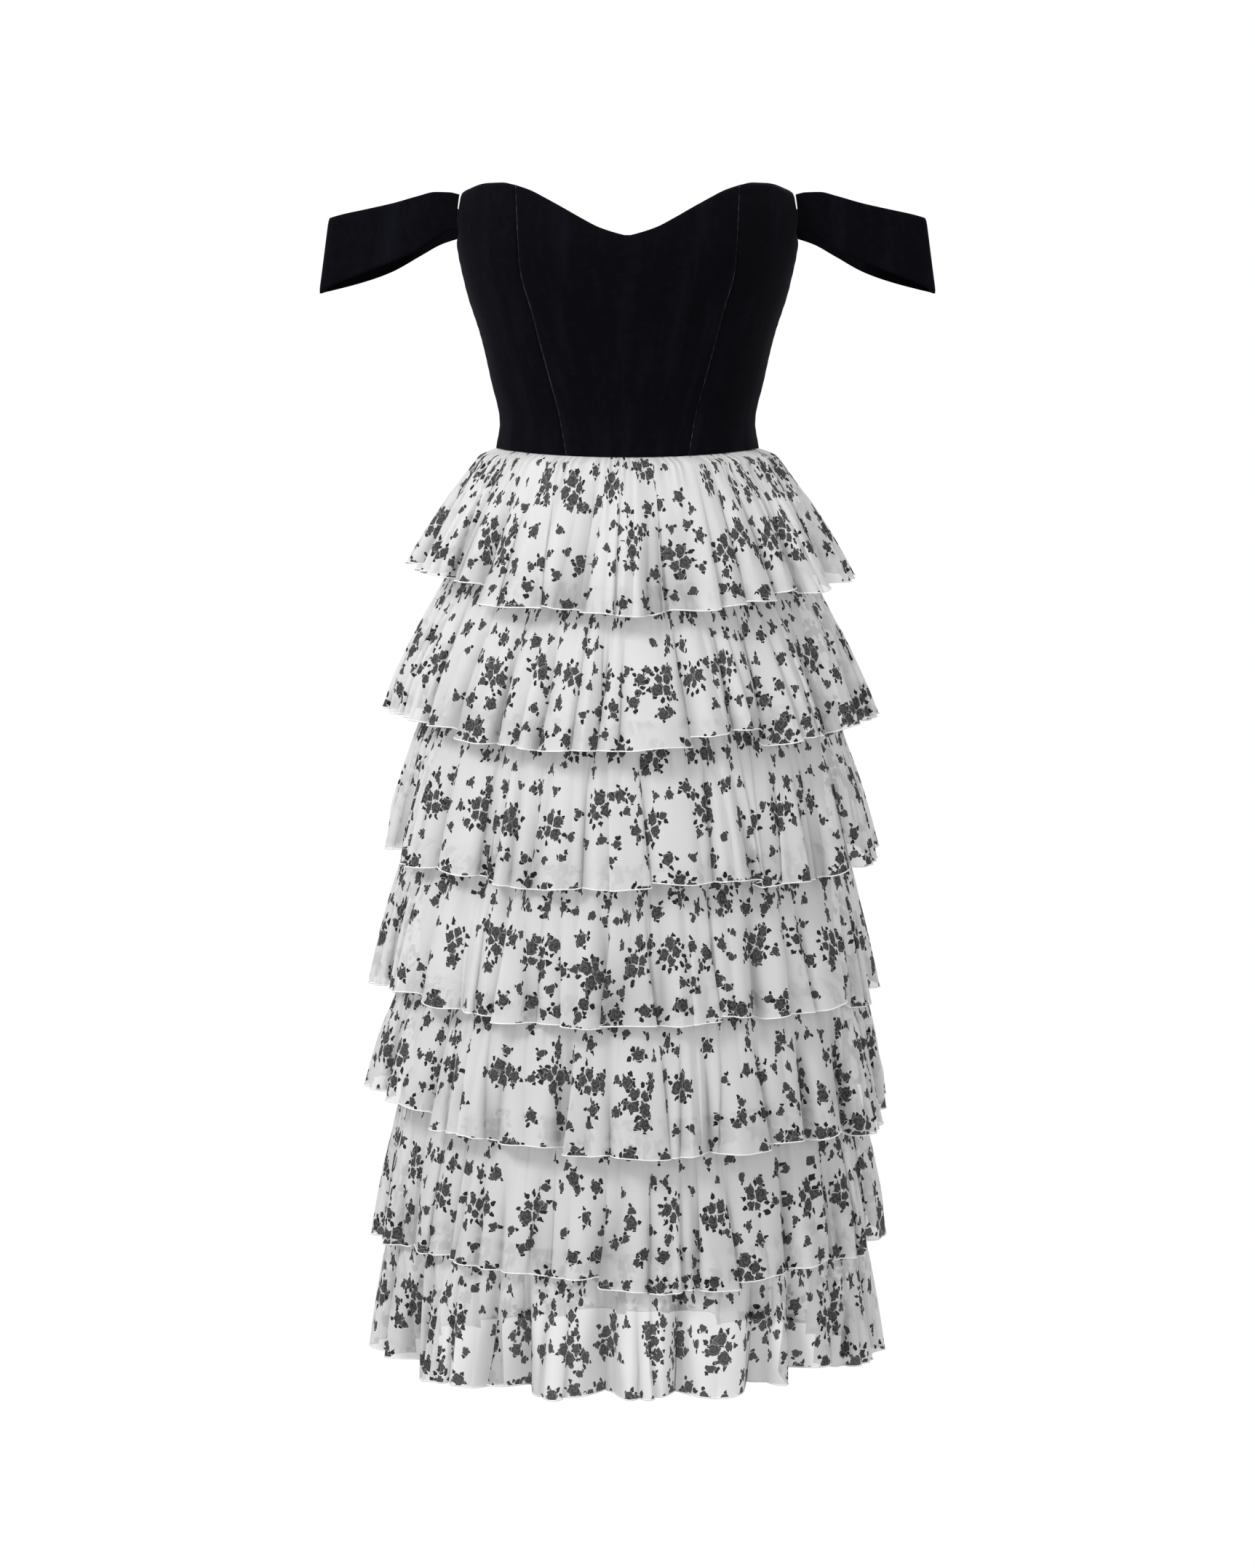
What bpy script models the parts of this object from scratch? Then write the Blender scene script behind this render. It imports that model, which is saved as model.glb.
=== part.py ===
"""A corset dress in its worn, hollow form: a velvet sweetheart bodice of seven panels with two
off-the-shoulder bands, over an underskirt that carries seven gathered tiers.

Metres, +Z up, the front towards -Y. The origin is the centre of the waist seam. Angles run round the
body from the front centre (0) over the wearer's left side (90, at +X) to the back centre (180).
"""
import math
from collections import namedtuple

import bmesh
import bpy
from mathutils import Vector

NAME = "corset_dress"

# Driving dimensions
velvet_wall = 0.002
chiffon_wall = 0.0012
underskirt_wall = 0.001
seam_gap = 0.0003
flute_spacing = 0.076      # between the creases that don't show from the front
tier_stand_off = 0.0028    # from the underskirt's face to a tier's outer face at its seam
crease_top = 0.08          # share of a tier's length, below its seam, that has no flutes yet
lap_height = 0.003         # how far a lapping side of a crease stands out
pinch = 0.55               # how far the sides of a crease close up on it
fall_power = 1.15          # how the flutes grow from crease_top to the hem
hem_swell = 0.2            # how much a tier bulges between its shoulder and its hem
dip_power = 1.5            # how a ring's level leaves the side's towards the front or the back

# The bodice's outer face, a row for each level:
# level, half width, front depth, back depth, roundness of the section
Section = namedtuple("Section", "z half_width front back power")
SECTIONS = [Section(*row) for row in (
    (-0.012, 0.1252, 0.0950, 0.0885, 2.00),
    (0.000, 0.1240, 0.0940, 0.0880, 2.00),
    (0.023, 0.1208, 0.0920, 0.0860, 2.02),
    (0.064, 0.1287, 0.1000, 0.0900, 2.08),
    (0.109, 0.1396, 0.1130, 0.0960, 2.18),
    (0.150, 0.1524, 0.1260, 0.1010, 2.28),
    (0.185, 0.1600, 0.1320, 0.1040, 2.34),
    (0.215, 0.1630, 0.1280, 0.1050, 2.36),
    (0.250, 0.1600, 0.1150, 0.1050, 2.36),
)]

# Level of the bodice's top edge by angle: the sweetheart dip, the cups, the step down at each
# sleeve's front joint, the underarm, the step up at its back joint and the back
TOP_EDGE = (
    (0.0, 0.1932), (6.8, 0.2012), (12.0, 0.2099), (17.6, 0.2193), (23.7, 0.2283), (30.3, 0.2366),
    (36.7, 0.2415), (43.0, 0.2444), (51.2, 0.2446), (63.8, 0.2410), (73.2, 0.2370), (76.5, 0.2000),
    (90.0, 0.1952), (103.5, 0.2000), (107.0, 0.2250), (125.0, 0.2120), (150.0, 0.1980), (180.0, 0.1900),
)

# The waist seam dips a little at the front and the back
waist_front = -0.009
waist_back = -0.006

# How far the princess seams stand from the centre, by level
FRONT_SEAM = ((-0.009, 0.0570), (0.028, 0.0635), (0.049, 0.0690), (0.086, 0.0790), (0.124, 0.0890),
              (0.166, 0.1000), (0.201, 0.1020), (0.242, 0.1040))
BACK_SEAM = ((-0.009, 0.0480), (0.050, 0.0540), (0.124, 0.0700), (0.200, 0.0850))
side_seam_angle = 90.0

# A panel's columns, as shares of the way between its two seams at the top edge
FRONT_COLUMNS = (0.0, 0.093, 0.163, 0.240, 0.323, 0.413, 0.5)
SIDE_FRONT_COLUMNS = (0.0, 0.12, 0.27, 0.50, 0.685, 0.747, 1.0)
SIDE_BACK_COLUMNS = (0.0, 0.27, 0.34, 0.58, 0.80, 1.0)
BACK_COLUMNS = (0.0, 0.25, 0.5, 0.75, 1.0)
panel_bands = 7
level_passes = 6           # how often a point's level is worked out again from its seams

# A sleeve band from its front joint round the outer fold to its back joint, a row for each station:
# out from the centre, towards the back, level of its top edge and of its lower edge. The bodice's
# face sets how far out the two joints are.
Station = namedtuple("Station", "x y top low")
SLEEVE = [Station(*row) for row in (
    (0.1570, -0.0405, 0.2365, 0.2050),
    (0.1660, -0.0390, 0.2385, 0.2030),
    (0.1800, -0.0370, 0.2390, 0.1940),
    (0.1960, -0.0335, 0.2355, 0.1830),
    (0.2215, -0.0250, 0.2290, 0.1720),
    (0.2470, -0.0145, 0.2240, 0.1620),
    (0.2700, -0.0055, 0.2195, 0.1525),
    (0.2790, -0.0015, 0.2172, 0.1475),
    (0.2815, 0.0040, 0.2166, 0.1456),
    (0.2790, 0.0095, 0.2170, 0.1465),
    (0.2700, 0.0140, 0.2185, 0.1490),
    (0.2470, 0.0235, 0.2230, 0.1560),
    (0.2215, 0.0345, 0.2280, 0.1665),
    (0.1960, 0.0440, 0.2320, 0.1820),
    (0.1760, 0.0470, 0.2330, 0.1940),
    (0.1590, 0.0420, 0.2250, 0.2010),
)]
joint_gap = 0.0006         # from the bodice's face to the end of a sleeve band
sleeve_lean = 0.0095       # the fold's lower corner stands this far out of its upper one
sleeve_bands = 3

# Depth over half width of the rings round the skirt: in front and behind at the waist, at the hips
# and from the knees down
waist_depth_ratios = (0.758, 0.710)
hip_depth_ratio = 0.800
hem_depth_ratio = 0.825
hip_level = -0.15
knee_level = -0.50

# Levels of a ring round the skirt at the side, the front centre and the back centre
Level = namedtuple("Level", "side front back")

# The tiers from the waist down: their half widths over the flutes at the seam, at the shoulder below
# it and at the hem, how far they hang off centre, the drop from seam to shoulder, the levels of seam
# and hem, the flutes' depth
Tier = namedtuple("Tier", "seam_half shoulder_half hem_half off_centre shoulder_drop seam hem flute_depth")
TIERS = {
    "tier_1": Tier(0.1235, 0.144, 0.2130, 0.0018, 0.010, None,
                   Level(-0.115, -0.150, -0.128), 0.0280),
    "tier_2": Tier(0.1500, 0.170, 0.2350, 0.0022, 0.022, Level(-0.092, -0.128, -0.104),
                   Level(-0.251, -0.279, -0.258), 0.0250),
    "tier_3": Tier(0.1780, 0.197, 0.2352, 0.0030, 0.022, Level(-0.228, -0.250, -0.234),
                   Level(-0.381, -0.402, -0.385), 0.0165),
    "tier_4": Tier(0.1900, 0.210, 0.2420, -0.0020, 0.020, Level(-0.360, -0.380, -0.363),
                   Level(-0.508, -0.522, -0.508), 0.0120),
    "tier_5": Tier(0.1980, 0.2205, 0.2505, 0.0025, 0.020, Level(-0.486, -0.500, -0.485),
                   Level(-0.618, -0.640, -0.612), 0.0210),
    "tier_6": Tier(0.2030, 0.218, 0.2445, 0.0025, 0.022, Level(-0.588, -0.612, -0.586),
                   Level(-0.742, -0.758, -0.738), 0.0130),
    "tier_7": Tier(0.2070, 0.223, 0.2440, -0.0008, 0.022, Level(-0.706, -0.734, -0.704),
                   Level(-0.862, -0.858, -0.860), 0.0480),
}
TIER_BANDS = (0.14, 0.52, 1.0)

# The underskirt starts inside the waist seam and ends below the last tier's seam
underskirt_columns = 36
underskirt_inset = 0.0004
underskirt_start = 0.001
underskirt_end = 0.010
underskirt_flare = 0.0005

# Creases that show from the front, a row for each: angle, width (mm), depth (share of the tier's),
# lap (1 when the side towards the wearer's left lies over, -1 when the other does), and how far the
# flute after it hangs below the tier's level (mm)
Crease = namedtuple("Crease", "angle width depth lap drop")
CREASES = {
    "tier_1": (
        (-98, 9, 0.7, 0, -7), (-77, 9, 0.6, 0, -8), (-55, 10, 0.6, 0, -9), (-42, 9, 0.8, 1, 4),
        (-24.5, 8, 0.4, -1, -1), (-12.5, 9, 0.7, 1, 3), (9, 10, 0.3, 0, 1), (31, 8, 0.6, -1, 0),
        (40, 8, 0.7, -1, -4), (50, 9, 0.7, 0, 4), (66, 9, 0.5, 0, 5),
    ),
    "tier_2": (
        (-100, 9, 0.6, 0, -5), (-75, 8, 0.5, 0, -8), (-57, 9, 0.5, 0, -7), (-46, 8, 0.5, 1, -1),
        (-33.5, 9, 0.4, 0, -1), (-20.5, 8, 0.7, 1, -2), (-6.5, 8, 0.6, 1, -5), (13.5, 9, 0.9, -1, -16),
        (24, 8, 0.4, 0, -16), (34, 9, 0.9, 1, 0), (54, 10, 0.6, 0, 0), (71, 9, 0.6, 0, -1),
    ),
    "tier_3": (
        (-98, 9, 0.8, 0, -7), (-72, 9, 1.0, 0, -1), (-52.5, 9, 0.6, 0, -4), (-35, 9, 0.5, 0, 2),
        (-24, 9, 0.8, 1, 1), (-11.5, 9, 0.4, 0, -2), (3.5, 8, 0.7, -1, -6), (19.5, 8, 0.5, 0, -4),
        (30.5, 8, 0.7, -1, 3), (38.5, 8, 0.8, 1, 5), (49, 8, 0.6, 0, 3), (64, 8, 0.6, 0, 4),
    ),
    "tier_4": (
        (-100, 9, 0.6, 0, -5), (-70, 9, 0.9, 0, -9), (-53.5, 9, 0.6, 0, -4), (-39.5, 8, 0.5, 0, -1),
        (-29.5, 9, 0.9, 1, 2), (-20.5, 8, 0.6, 0, 3), (-4, 9, 0.8, 1, 3), (6, 8, 0.7, -1, 1),
        (20.5, 8, 0.9, -1, -3), (31.5, 8, 0.6, 0, 2), (45.5, 9, 0.8, -1, 1), (61.5, 8, 0.5, 0, 8),
    ),
    "tier_5": (
        (-102, 9, 0.8, 0, -17), (-71, 9, 0.7, 0, -18), (-49, 9, 0.9, 1, -5), (-30.5, 9, 0.5, 0, -4),
        (-13.5, 9, 0.8, 1, 0), (-4.5, 8, 0.5, 0, 3), (7.5, 8, 0.7, -1, 2), (17.5, 8, 0.7, 0, 3),
        (31, 9, 0.8, -1, 1), (43, 9, 0.7, 0, 3), (58, 9, 0.8, 0, 12),
    ),
    "tier_6": (
        (-100, 9, 0.7, 0, 2), (-78, 9, 0.6, 0, -3), (-60, 9, 0.6, 0, -9), (-43, 9, 0.9, 1, -6),
        (-30.5, 8, 0.6, 0, -4), (-18, 9, 0.5, 0, -5), (-5.5, 9, 0.9, 1, 6), (4, 8, 0.6, 0, 8),
        (15, 8, 0.7, 0, 9), (23.5, 9, 0.9, -1, 3), (38, 9, 0.7, 0, -2), (52, 8, 0.6, 0, 2),
        (70, 8, 0.6, 0, -1),
    ),
    "tier_7": (
        (-101, 9, 0.7, 0, -11), (-75.5, 9, 0.8, 0, -12), (-59.5, 11, 0.8, 0, 0), (-33, 9, 0.7, 1, -1),
        (-24.5, 11, 0.9, 0, 4), (-5.5, 15, 1.0, 0, 3), (12, 9, 0.8, 0, 3), (32, 13, 1.0, 0, -2),
        (42, 9, 0.8, 0, -13), (58, 10, 0.7, 0, -7), (80, 9, 0.7, 0, -5),
    ),
}

# Creases that don't show from the front: the middle and the spread of their places (in flutes), widths,
# depths, laps and drops, and the angle at which their spacing is measured
HIDDEN_CREASES = Crease((0.0, 0.24), (9.0, 1.5), (0.72, 0.25), (0.0, 1.4), (0.0, 3.5))
hidden_angle = 135.0

# Columns stand beside a crease this many of its widths off, or this share of the flute if that is less
column_near = (0.55, 0.18)
column_far = (1.2, 0.36)
drop_blend = 1.2           # crease widths in which one flute's drop passes into the next one's

# Centre back zip, in millimetres: the slider, the arch on it and the pull tab that hangs in the arch
zip_below_edge = 15.0
slider_gap = 0.4
SLIDER_SIZE = (6.0, 1.5, 9.0)
slider_bevel = 0.4
arch_wire = 0.5
arch_steps = 10
arch_sink = 0.5
arch_half_length = 2.5
arch_height = 2.9
tab_axis_height = 1.15
tab_half_thickness = 0.4
tab_bar_half_width = 0.6
tab_top_radius = 2.5
tab_hole_half_width = 1.4
tab_hole_length = 4.2
tab_length = 18.0
tab_end_radius = 3.2
tab_end_steps = 8
tab_hole_steps = 5


def smooth(table, at, column=1):
    """The value in a table's column at a place, on a smooth curve through its rows."""
    places = [row[0] for row in table]
    values = [row[column] for row in table]
    last = len(table) - 1
    if at <= places[0]:
        return values[0]
    if at >= places[last]:
        return values[last]
    i = next(k for k in range(last) if at <= places[k + 1])
    step = places[i + 1] - places[i]
    rise = (values[i + 1] - values[i]) / step

    def slope(k):
        if k in (0, last):
            return rise
        before = (values[k] - values[k - 1]) / (places[k] - places[k - 1])
        after = (values[k + 1] - values[k]) / (places[k + 1] - places[k])
        if before * after <= 0:
            return 0.0
        return 2 * before * after / (before + after)

    t = (at - places[i]) / step
    start, end = slope(i) * step, slope(i + 1) * step
    return (values[i] * (1 + 2 * t) * (1 - t) ** 2 + start * t * (1 - t) ** 2
            + values[i + 1] * t * t * (3 - 2 * t) - end * t * t * (1 - t))


def signed_power(value, power):
    return math.copysign(abs(value) ** power, value)


def ease(t):
    """From 0 to 1 with level ends."""
    t = min(1.0, max(0.0, t))
    return t * t * (3 - 2 * t)


def uneven(number, seed):
    """A steady, unordered value from -1 to 1 for a count."""
    return 2 * ((number * 0.618034 + seed * 0.37) % 1.0) - 1


def paint(name, colour, roughness, metallic=0.0):
    material = bpy.data.materials.new(name)
    material.use_nodes = True
    shader = material.node_tree.nodes["Principled BSDF"]
    shader.inputs["Base Color"].default_value = (*colour, 1.0)
    shader.inputs["Roughness"].default_value = roughness
    shader.inputs["Metallic"].default_value = metallic
    return material


def add_object(name, data, material, collection):
    piece = bpy.data.objects.new(name, data)
    collection.objects.link(piece)
    data.materials.append(material)
    return piece


def add_cloth(name, rows, wall, outward, closed, material, collection):
    """A sheet through rows of points, listed top to bottom, thickened to a wall. The faces look
    away from the body when the columns run towards +X at the front."""
    shape = bmesh.new()
    grid = [[shape.verts.new(point) for point in row] for row in rows]
    columns = len(rows[0])
    for upper, lower in zip(grid, grid[1:]):
        for i in range(columns if closed else columns - 1):
            j = (i + 1) % columns
            shape.faces.new((upper[i], lower[i], lower[j], upper[j]))
    mesh = bpy.data.meshes.new(name)
    shape.to_mesh(mesh)
    shape.free()
    mesh.shade_smooth()
    piece = add_object(name, mesh, material, collection)
    thicken = piece.modifiers.new("wall", "SOLIDIFY")
    thicken.thickness = wall
    thicken.offset = 1.0 if outward else -1.0
    return piece


# The bodice

def body_point(angle, level, inset=0.0):
    """A point of the bodice's outer face, or one that lies inside it by inset."""
    half, front, back, power = (smooth(SECTIONS, level, k) for k in (1, 2, 3, 4))
    turn = math.radians(angle)
    across, along = math.sin(turn), math.cos(turn)
    depth = front if along > 0 else back
    return Vector((
        (half - inset) * signed_power(across, 2 / power),
        -(depth - inset) * signed_power(along, 2 / power),
        level,
    ))


def angle_across(distance, level, at_back):
    """The angle at which the bodice's face is this far from the centre."""
    half, power = smooth(SECTIONS, level, 1), smooth(SECTIONS, level, 4)
    turn = math.degrees(math.asin(min(1.0, distance / half) ** (power / 2)))
    return 180.0 - turn if at_back else turn


def half_width_at(distance, level):
    """How far out the bodice's face is where it is this far to the front (below 0) or the back."""
    half, front, back, power = (smooth(SECTIONS, level, k) for k in (1, 2, 3, 4))
    along = min(1.0, abs(distance) / (front if distance < 0 else back)) ** (power / 2)
    return half * math.sqrt(1 - along * along) ** (2 / power)


def waist_level(angle):
    along = math.cos(math.radians(angle))
    return (waist_front if along > 0 else waist_back) * abs(along) ** dip_power


def seam_angles(level):
    """The angles of the three seams on one side, front to back, and of the centre back."""
    return (
        angle_across(smooth(FRONT_SEAM, level), level, False),
        side_seam_angle,
        angle_across(smooth(BACK_SEAM, level), level, True),
        180.0,
    )


def panel_rows(between, columns, side):
    """Rows of a panel's inner face, top to bottom. between gives its two seams' angles at a level,
    the one with the smaller angle first."""
    inner_gap = math.degrees(seam_gap / 2 / SECTIONS[2].half_width)
    rows = []
    for band in range(panel_bands, -1, -1):
        share = band / panel_bands
        row = []
        for column in columns:
            level = SECTIONS[-1].z * share
            for _ in range(level_passes):
                first, last = between(level)
                angle = first + inner_gap + (last - first - 2 * inner_gap) * column
                low, high = waist_level(angle), smooth(TOP_EDGE, abs(angle))
                level = low + (high - low) * share
            point = body_point(angle, level, velvet_wall)
            row.append(Vector((point.x * side, point.y, point.z)))
        rows.append(row if side > 0 else row[::-1])
    return rows


def make_bodice(velvet, collection):
    mirrored = tuple(0.5 - share for share in reversed(FRONT_COLUMNS))
    front_columns = mirrored + tuple(0.5 + share for share in FRONT_COLUMNS[1:])
    front = panel_rows(lambda z: (-seam_angles(z)[0], seam_angles(z)[0]), front_columns, 1)
    add_cloth("front_centre", front, velvet_wall, True, False, velvet, collection)
    layout = (
        ("side_front", 0, SIDE_FRONT_COLUMNS),
        ("side_back", 1, SIDE_BACK_COLUMNS),
        ("back", 2, BACK_COLUMNS),
    )
    for side_name, side in (("left", 1), ("right", -1)):
        for panel, seam, columns in layout:
            rows = panel_rows(lambda z, k=seam: seam_angles(z)[k:k + 2], columns, side)
            add_cloth(f"{panel}_{side_name}", rows, velvet_wall, True, False, velvet, collection)


# The sleeves

def sleeve_point(station, share):
    """A point of a sleeve band on the +X side, this share of the way down from its top edge."""
    level = station.top + (station.low - station.top) * share
    if station in (SLEEVE[0], SLEEVE[-1]):
        inner_side = station.y - math.copysign(velvet_wall, station.y)
        return Vector((half_width_at(inner_side, level) + joint_gap, station.y, level))
    fold, joint = max(each.x for each in SLEEVE), SLEEVE[0].x
    lean = sleeve_lean * share * (station.x - joint) / (fold - joint)
    return Vector((station.x + lean, station.y, level))


def make_sleeves(velvet, collection):
    for side_name, side in (("left", 1), ("right", -1)):
        rows = []
        for band in range(sleeve_bands + 1):
            row = [sleeve_point(station, band / sleeve_bands) for station in SLEEVE]
            for point in row:
                point.x *= side
            rows.append(row if side > 0 else row[::-1])
        add_cloth(f"sleeve_{side_name}", rows, velvet_wall, False, False, velvet, collection)


# The skirt

def depth_ratio(level, along):
    """A ring's depth from the centre over its half width: flat at the waist, rounder below."""
    waist = waist_depth_ratios[0 if along > 0 else 1]
    if level > hip_level:
        return waist + (hip_depth_ratio - waist) * level / hip_level
    below = min(1.0, (level - hip_level) / (knee_level - hip_level))
    return hip_depth_ratio + (hem_depth_ratio - hip_depth_ratio) * below


def ring_level(levels, angle):
    """The level round a ring that is given at the side, the front and the back."""
    along = math.cos(math.radians(angle))
    centre = levels.front if along > 0 else levels.back
    return levels.side + (centre - levels.side) * abs(along) ** dip_power


def ring_point(half, level, angle, inset=0.0, shift=0.0):
    """A point of a ring, moved in towards the body by inset and along the ring by shift."""
    turn = math.radians(angle)
    across, along = math.sin(turn), math.cos(turn)
    depth = half * depth_ratio(level, along)
    out = Vector((across / half, -along / depth, 0.0)).normalized()
    way = Vector((-out.y, out.x, 0.0))
    return Vector((half * across, -depth * along, level)) - out * inset + way * shift


def creases_of(name):
    """All creases round a tier, by angle: those of its table, then those of its hidden side."""
    shown = [Crease(*row) for row in CREASES[name]]
    start, span = shown[-1].angle, 360 - (shown[-1].angle - shown[0].angle)
    seed = int(name[-1])
    count = round(span * ring_speed(TIERS[name].hem_half, hidden_angle) / flute_spacing)
    hidden = []
    for i in range(1, count):
        place, width, depth, lap, drop = (
            middle + spread * uneven(i, seed + turn)
            for (middle, spread), turn in zip(HIDDEN_CREASES, (0, 3, 5, 7, 9))
        )
        hidden.append(Crease(start + span * (i + place) / count, width, depth, round(lap), drop))
    return shown + hidden


def ring_speed(half, angle):
    """Metres along a ring for each degree."""
    turn = math.radians(angle)
    return math.radians(half * math.hypot(math.cos(turn), hem_depth_ratio * math.sin(turn)))


def crease_columns(creases, half):
    """Angles of a tier's columns: at each crease, on its two sides and on the flute after it."""
    angles = []
    for i, crease in enumerate(creases):
        after = creases[(i + 1) % len(creases)]
        gap = (after.angle - crease.angle) % 360
        for other, start, way in ((crease, crease.angle, 1), (after, crease.angle + gap, -1)):
            width = other.width / 1000 / ring_speed(half, start)
            near, far = (min(widths * width, share * gap) for widths, share in (column_near, column_far))
            if way > 0:
                angles += [start, start + near, start + far, start + gap / 2]
            else:
                angles += [start - far, start - near]
    return angles


def folded(tier, creases, angle, fall):
    """How far a tier's face is in from its crests, how far it shifts along the ring, and how far it
    hangs below its level, in metres. fall is 0 at the seam and 1 at the hem."""
    half = tier.hem_half
    inset = shift = drop = 0.0
    for i, crease in enumerate(creases):
        before, after = creases[i - 1], creases[(i + 1) % len(creases)]
        width = crease.width / 1000
        away = (angle - crease.angle + 180) % 360 - 180
        t = away * ring_speed(half, crease.angle) / width
        bell = math.exp(-t * t)
        inset += (crease.depth * tier.flute_depth - crease.lap * lap_height * t) * bell * fall
        shift -= pinch * width * t * bell * fall
        if (angle - crease.angle) % 360 < (after.angle - crease.angle) % 360:
            rest = ((after.angle - angle) % 360) * ring_speed(half, angle) / (after.width / 1000)
            drop = (before.drop + (crease.drop - before.drop) * (0.5 + 0.5 * ease(t / drop_blend))
                    if t < rest else
                    crease.drop + (after.drop - crease.drop) * (0.5 - 0.5 * ease(rest / drop_blend)))
    return inset, shift, drop / 1000


def tier_rows(name):
    tier = TIERS[name]
    creases = creases_of(name)
    rows = []
    for share in (0.0, *TIER_BANDS):
        fall = max(0.0, (share - crease_top) / (1 - crease_top)) ** fall_power
        row = []
        for angle in crease_columns(creases, tier.hem_half):
            seam = tier_seam_level(tier, angle)
            inset, shift, drop = folded(tier, creases, angle, fall)
            hem = ring_level(tier.hem, angle) - drop
            length = seam - hem
            shoulder = tier.shoulder_drop / length
            half = tier_half(tier, share, shoulder)
            point = ring_point(half, seam - length * share, angle, inset, shift)
            point.x += tier.off_centre * min(1.0, share / shoulder)
            row.append(point)
        rows.append(row)
    return rows


def tier_seam_level(tier, angle):
    if tier.seam is None:
        return waist_level(angle) - seam_gap
    return ring_level(tier.seam, angle)


def tier_half(tier, share, shoulder):
    """Half width over the crests: a quick swell from the seam to the shoulder, then down to the hem."""
    seam = tier.seam_half if tier.seam is None else tier.seam_half + tier_stand_off
    if share < shoulder:
        return seam + (tier.shoulder_half - seam) * math.sin(math.pi / 2 * share / shoulder)
    t = (share - shoulder) / (1 - shoulder)
    return tier.shoulder_half + (tier.hem_half - tier.shoulder_half) * (t + hem_swell * t * (1 - t))


def make_tiers(chiffon, collection):
    for name in TIERS:
        add_cloth(name, tier_rows(name), chiffon_wall, False, True, chiffon, collection)


def make_underskirt(lining, collection):
    waist_half = TIERS["tier_1"].seam_half - chiffon_wall - seam_gap - underskirt_inset
    angles = [360 * i / underskirt_columns for i in range(underskirt_columns)]
    rows = [[ring_point(waist_half, waist_level(a) - underskirt_start, a) for a in angles]]
    for tier in TIERS.values():
        if tier.seam is not None:
            rows.append([ring_point(tier.seam_half, ring_level(tier.seam, a), a) for a in angles])
    last = TIERS["tier_7"]
    end_half = last.seam_half + underskirt_flare
    rows.append([ring_point(end_half, ring_level(last.seam, a) - underskirt_end, a) for a in angles])
    add_cloth("underskirt", rows, underskirt_wall, False, True, lining, collection)


# The zip

def zip_frame():
    """Where the slider's inner face lies on the centre back, and how far it leans."""
    level = smooth(TOP_EDGE, 180.0) - zip_below_edge / 1000
    reach = SLIDER_SIZE[2] / 2000
    above, below = body_point(180.0, level + reach), body_point(180.0, level - reach)
    lean = math.atan2(above.y - below.y, above.z - below.z)
    face = Vector((0.0, max(body_point(180.0, level).y, (above.y + below.y) / 2), level))
    return face, lean


def off_velvet(height):
    """A point this many millimetres off the velvet at the slider, and the velvet's lean there."""
    face, lean = zip_frame()
    return face + Vector((0.0, math.cos(lean), -math.sin(lean))) * (height / 1000), lean


def make_slider(metal, collection, cutters):
    wide, thick, tall = (size / 1000 for size in SLIDER_SIZE)
    block = bmesh.new()
    bmesh.ops.create_cube(block, size=1.0)
    bmesh.ops.scale(block, vec=(wide, thick, tall), verts=block.verts)
    bmesh.ops.translate(block, vec=(0.0, thick / 2, 0.0), verts=block.verts)
    bmesh.ops.bevel(block, geom=block.edges[:], offset=slider_bevel / 1000, segments=1, affect="EDGES")
    mesh = bpy.data.meshes.new("zip_slider")
    block.to_mesh(mesh)
    block.free()
    slider = add_object("zip_slider", mesh, metal, collection)
    slider.location, lean = off_velvet(slider_gap)
    slider.rotation_euler = (-lean, 0.0, 0.0)

    wire = bpy.data.curves.new("zip_arch", "CURVE")
    wire.dimensions = "3D"
    wire.bevel_depth = arch_wire / 1000
    wire.bevel_resolution = 2
    wire.use_fill_caps = True
    spline = wire.splines.new("POLY")
    spline.points.add(arch_steps)
    foot, height = SLIDER_SIZE[1] - arch_sink, arch_height + arch_sink
    for i in range(arch_steps + 1):
        turn = math.pi * i / arch_steps
        point = (0.0, foot + height * math.sin(turn), arch_half_length * math.cos(turn))
        spline.points[i].co = (*(value / 1000 for value in point), 1.0)
    curve = bpy.data.objects.new("zip_arch", wire)
    cutters.objects.link(curve)
    bpy.context.view_layer.update()
    arch_mesh = bpy.data.meshes.new_from_object(curve.evaluated_get(bpy.context.evaluated_depsgraph_get()))
    bpy.data.objects.remove(curve)
    welded = bmesh.new()
    welded.from_mesh(arch_mesh)
    bmesh.ops.remove_doubles(welded, verts=welded.verts, dist=0.00001)
    welded.to_mesh(arch_mesh)
    welded.free()
    arch = bpy.data.objects.new("zip_arch", arch_mesh)
    cutters.objects.link(arch)
    arch.location, arch.rotation_euler = slider.location, slider.rotation_euler
    arch.hide_render = True
    arch.display_type = "WIRE"
    join = slider.modifiers.new("arch", "BOOLEAN")
    join.operation = "UNION"
    join.object = arch


def tab_outline():
    """The pull tab's outer outline round its axis, across and along, in millimetres."""
    top = tab_bar_half_width - tab_top_radius
    end = tab_bar_half_width - tab_length + tab_end_radius
    points = []
    for radius, centre, start in ((tab_top_radius, top, 0.0), (tab_end_radius, end, math.pi)):
        for i in range(tab_end_steps + 1):
            turn = start + math.pi * i / tab_end_steps
            points.append((radius * math.cos(turn), centre + radius * math.sin(turn)))
    return points


def tab_hole():
    """The hole that the arch runs through, a slot with round ends."""
    radius = tab_hole_half_width
    upper = -tab_bar_half_width - radius
    lower = -tab_bar_half_width - tab_hole_length + radius
    points = []
    for centre, start in ((upper, 0.0), (lower, math.pi)):
        for i in range(tab_hole_steps + 1):
            turn = start + math.pi * i / tab_hole_steps
            points.append((radius * math.cos(turn), centre + radius * math.sin(turn)))
    return points


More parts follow.
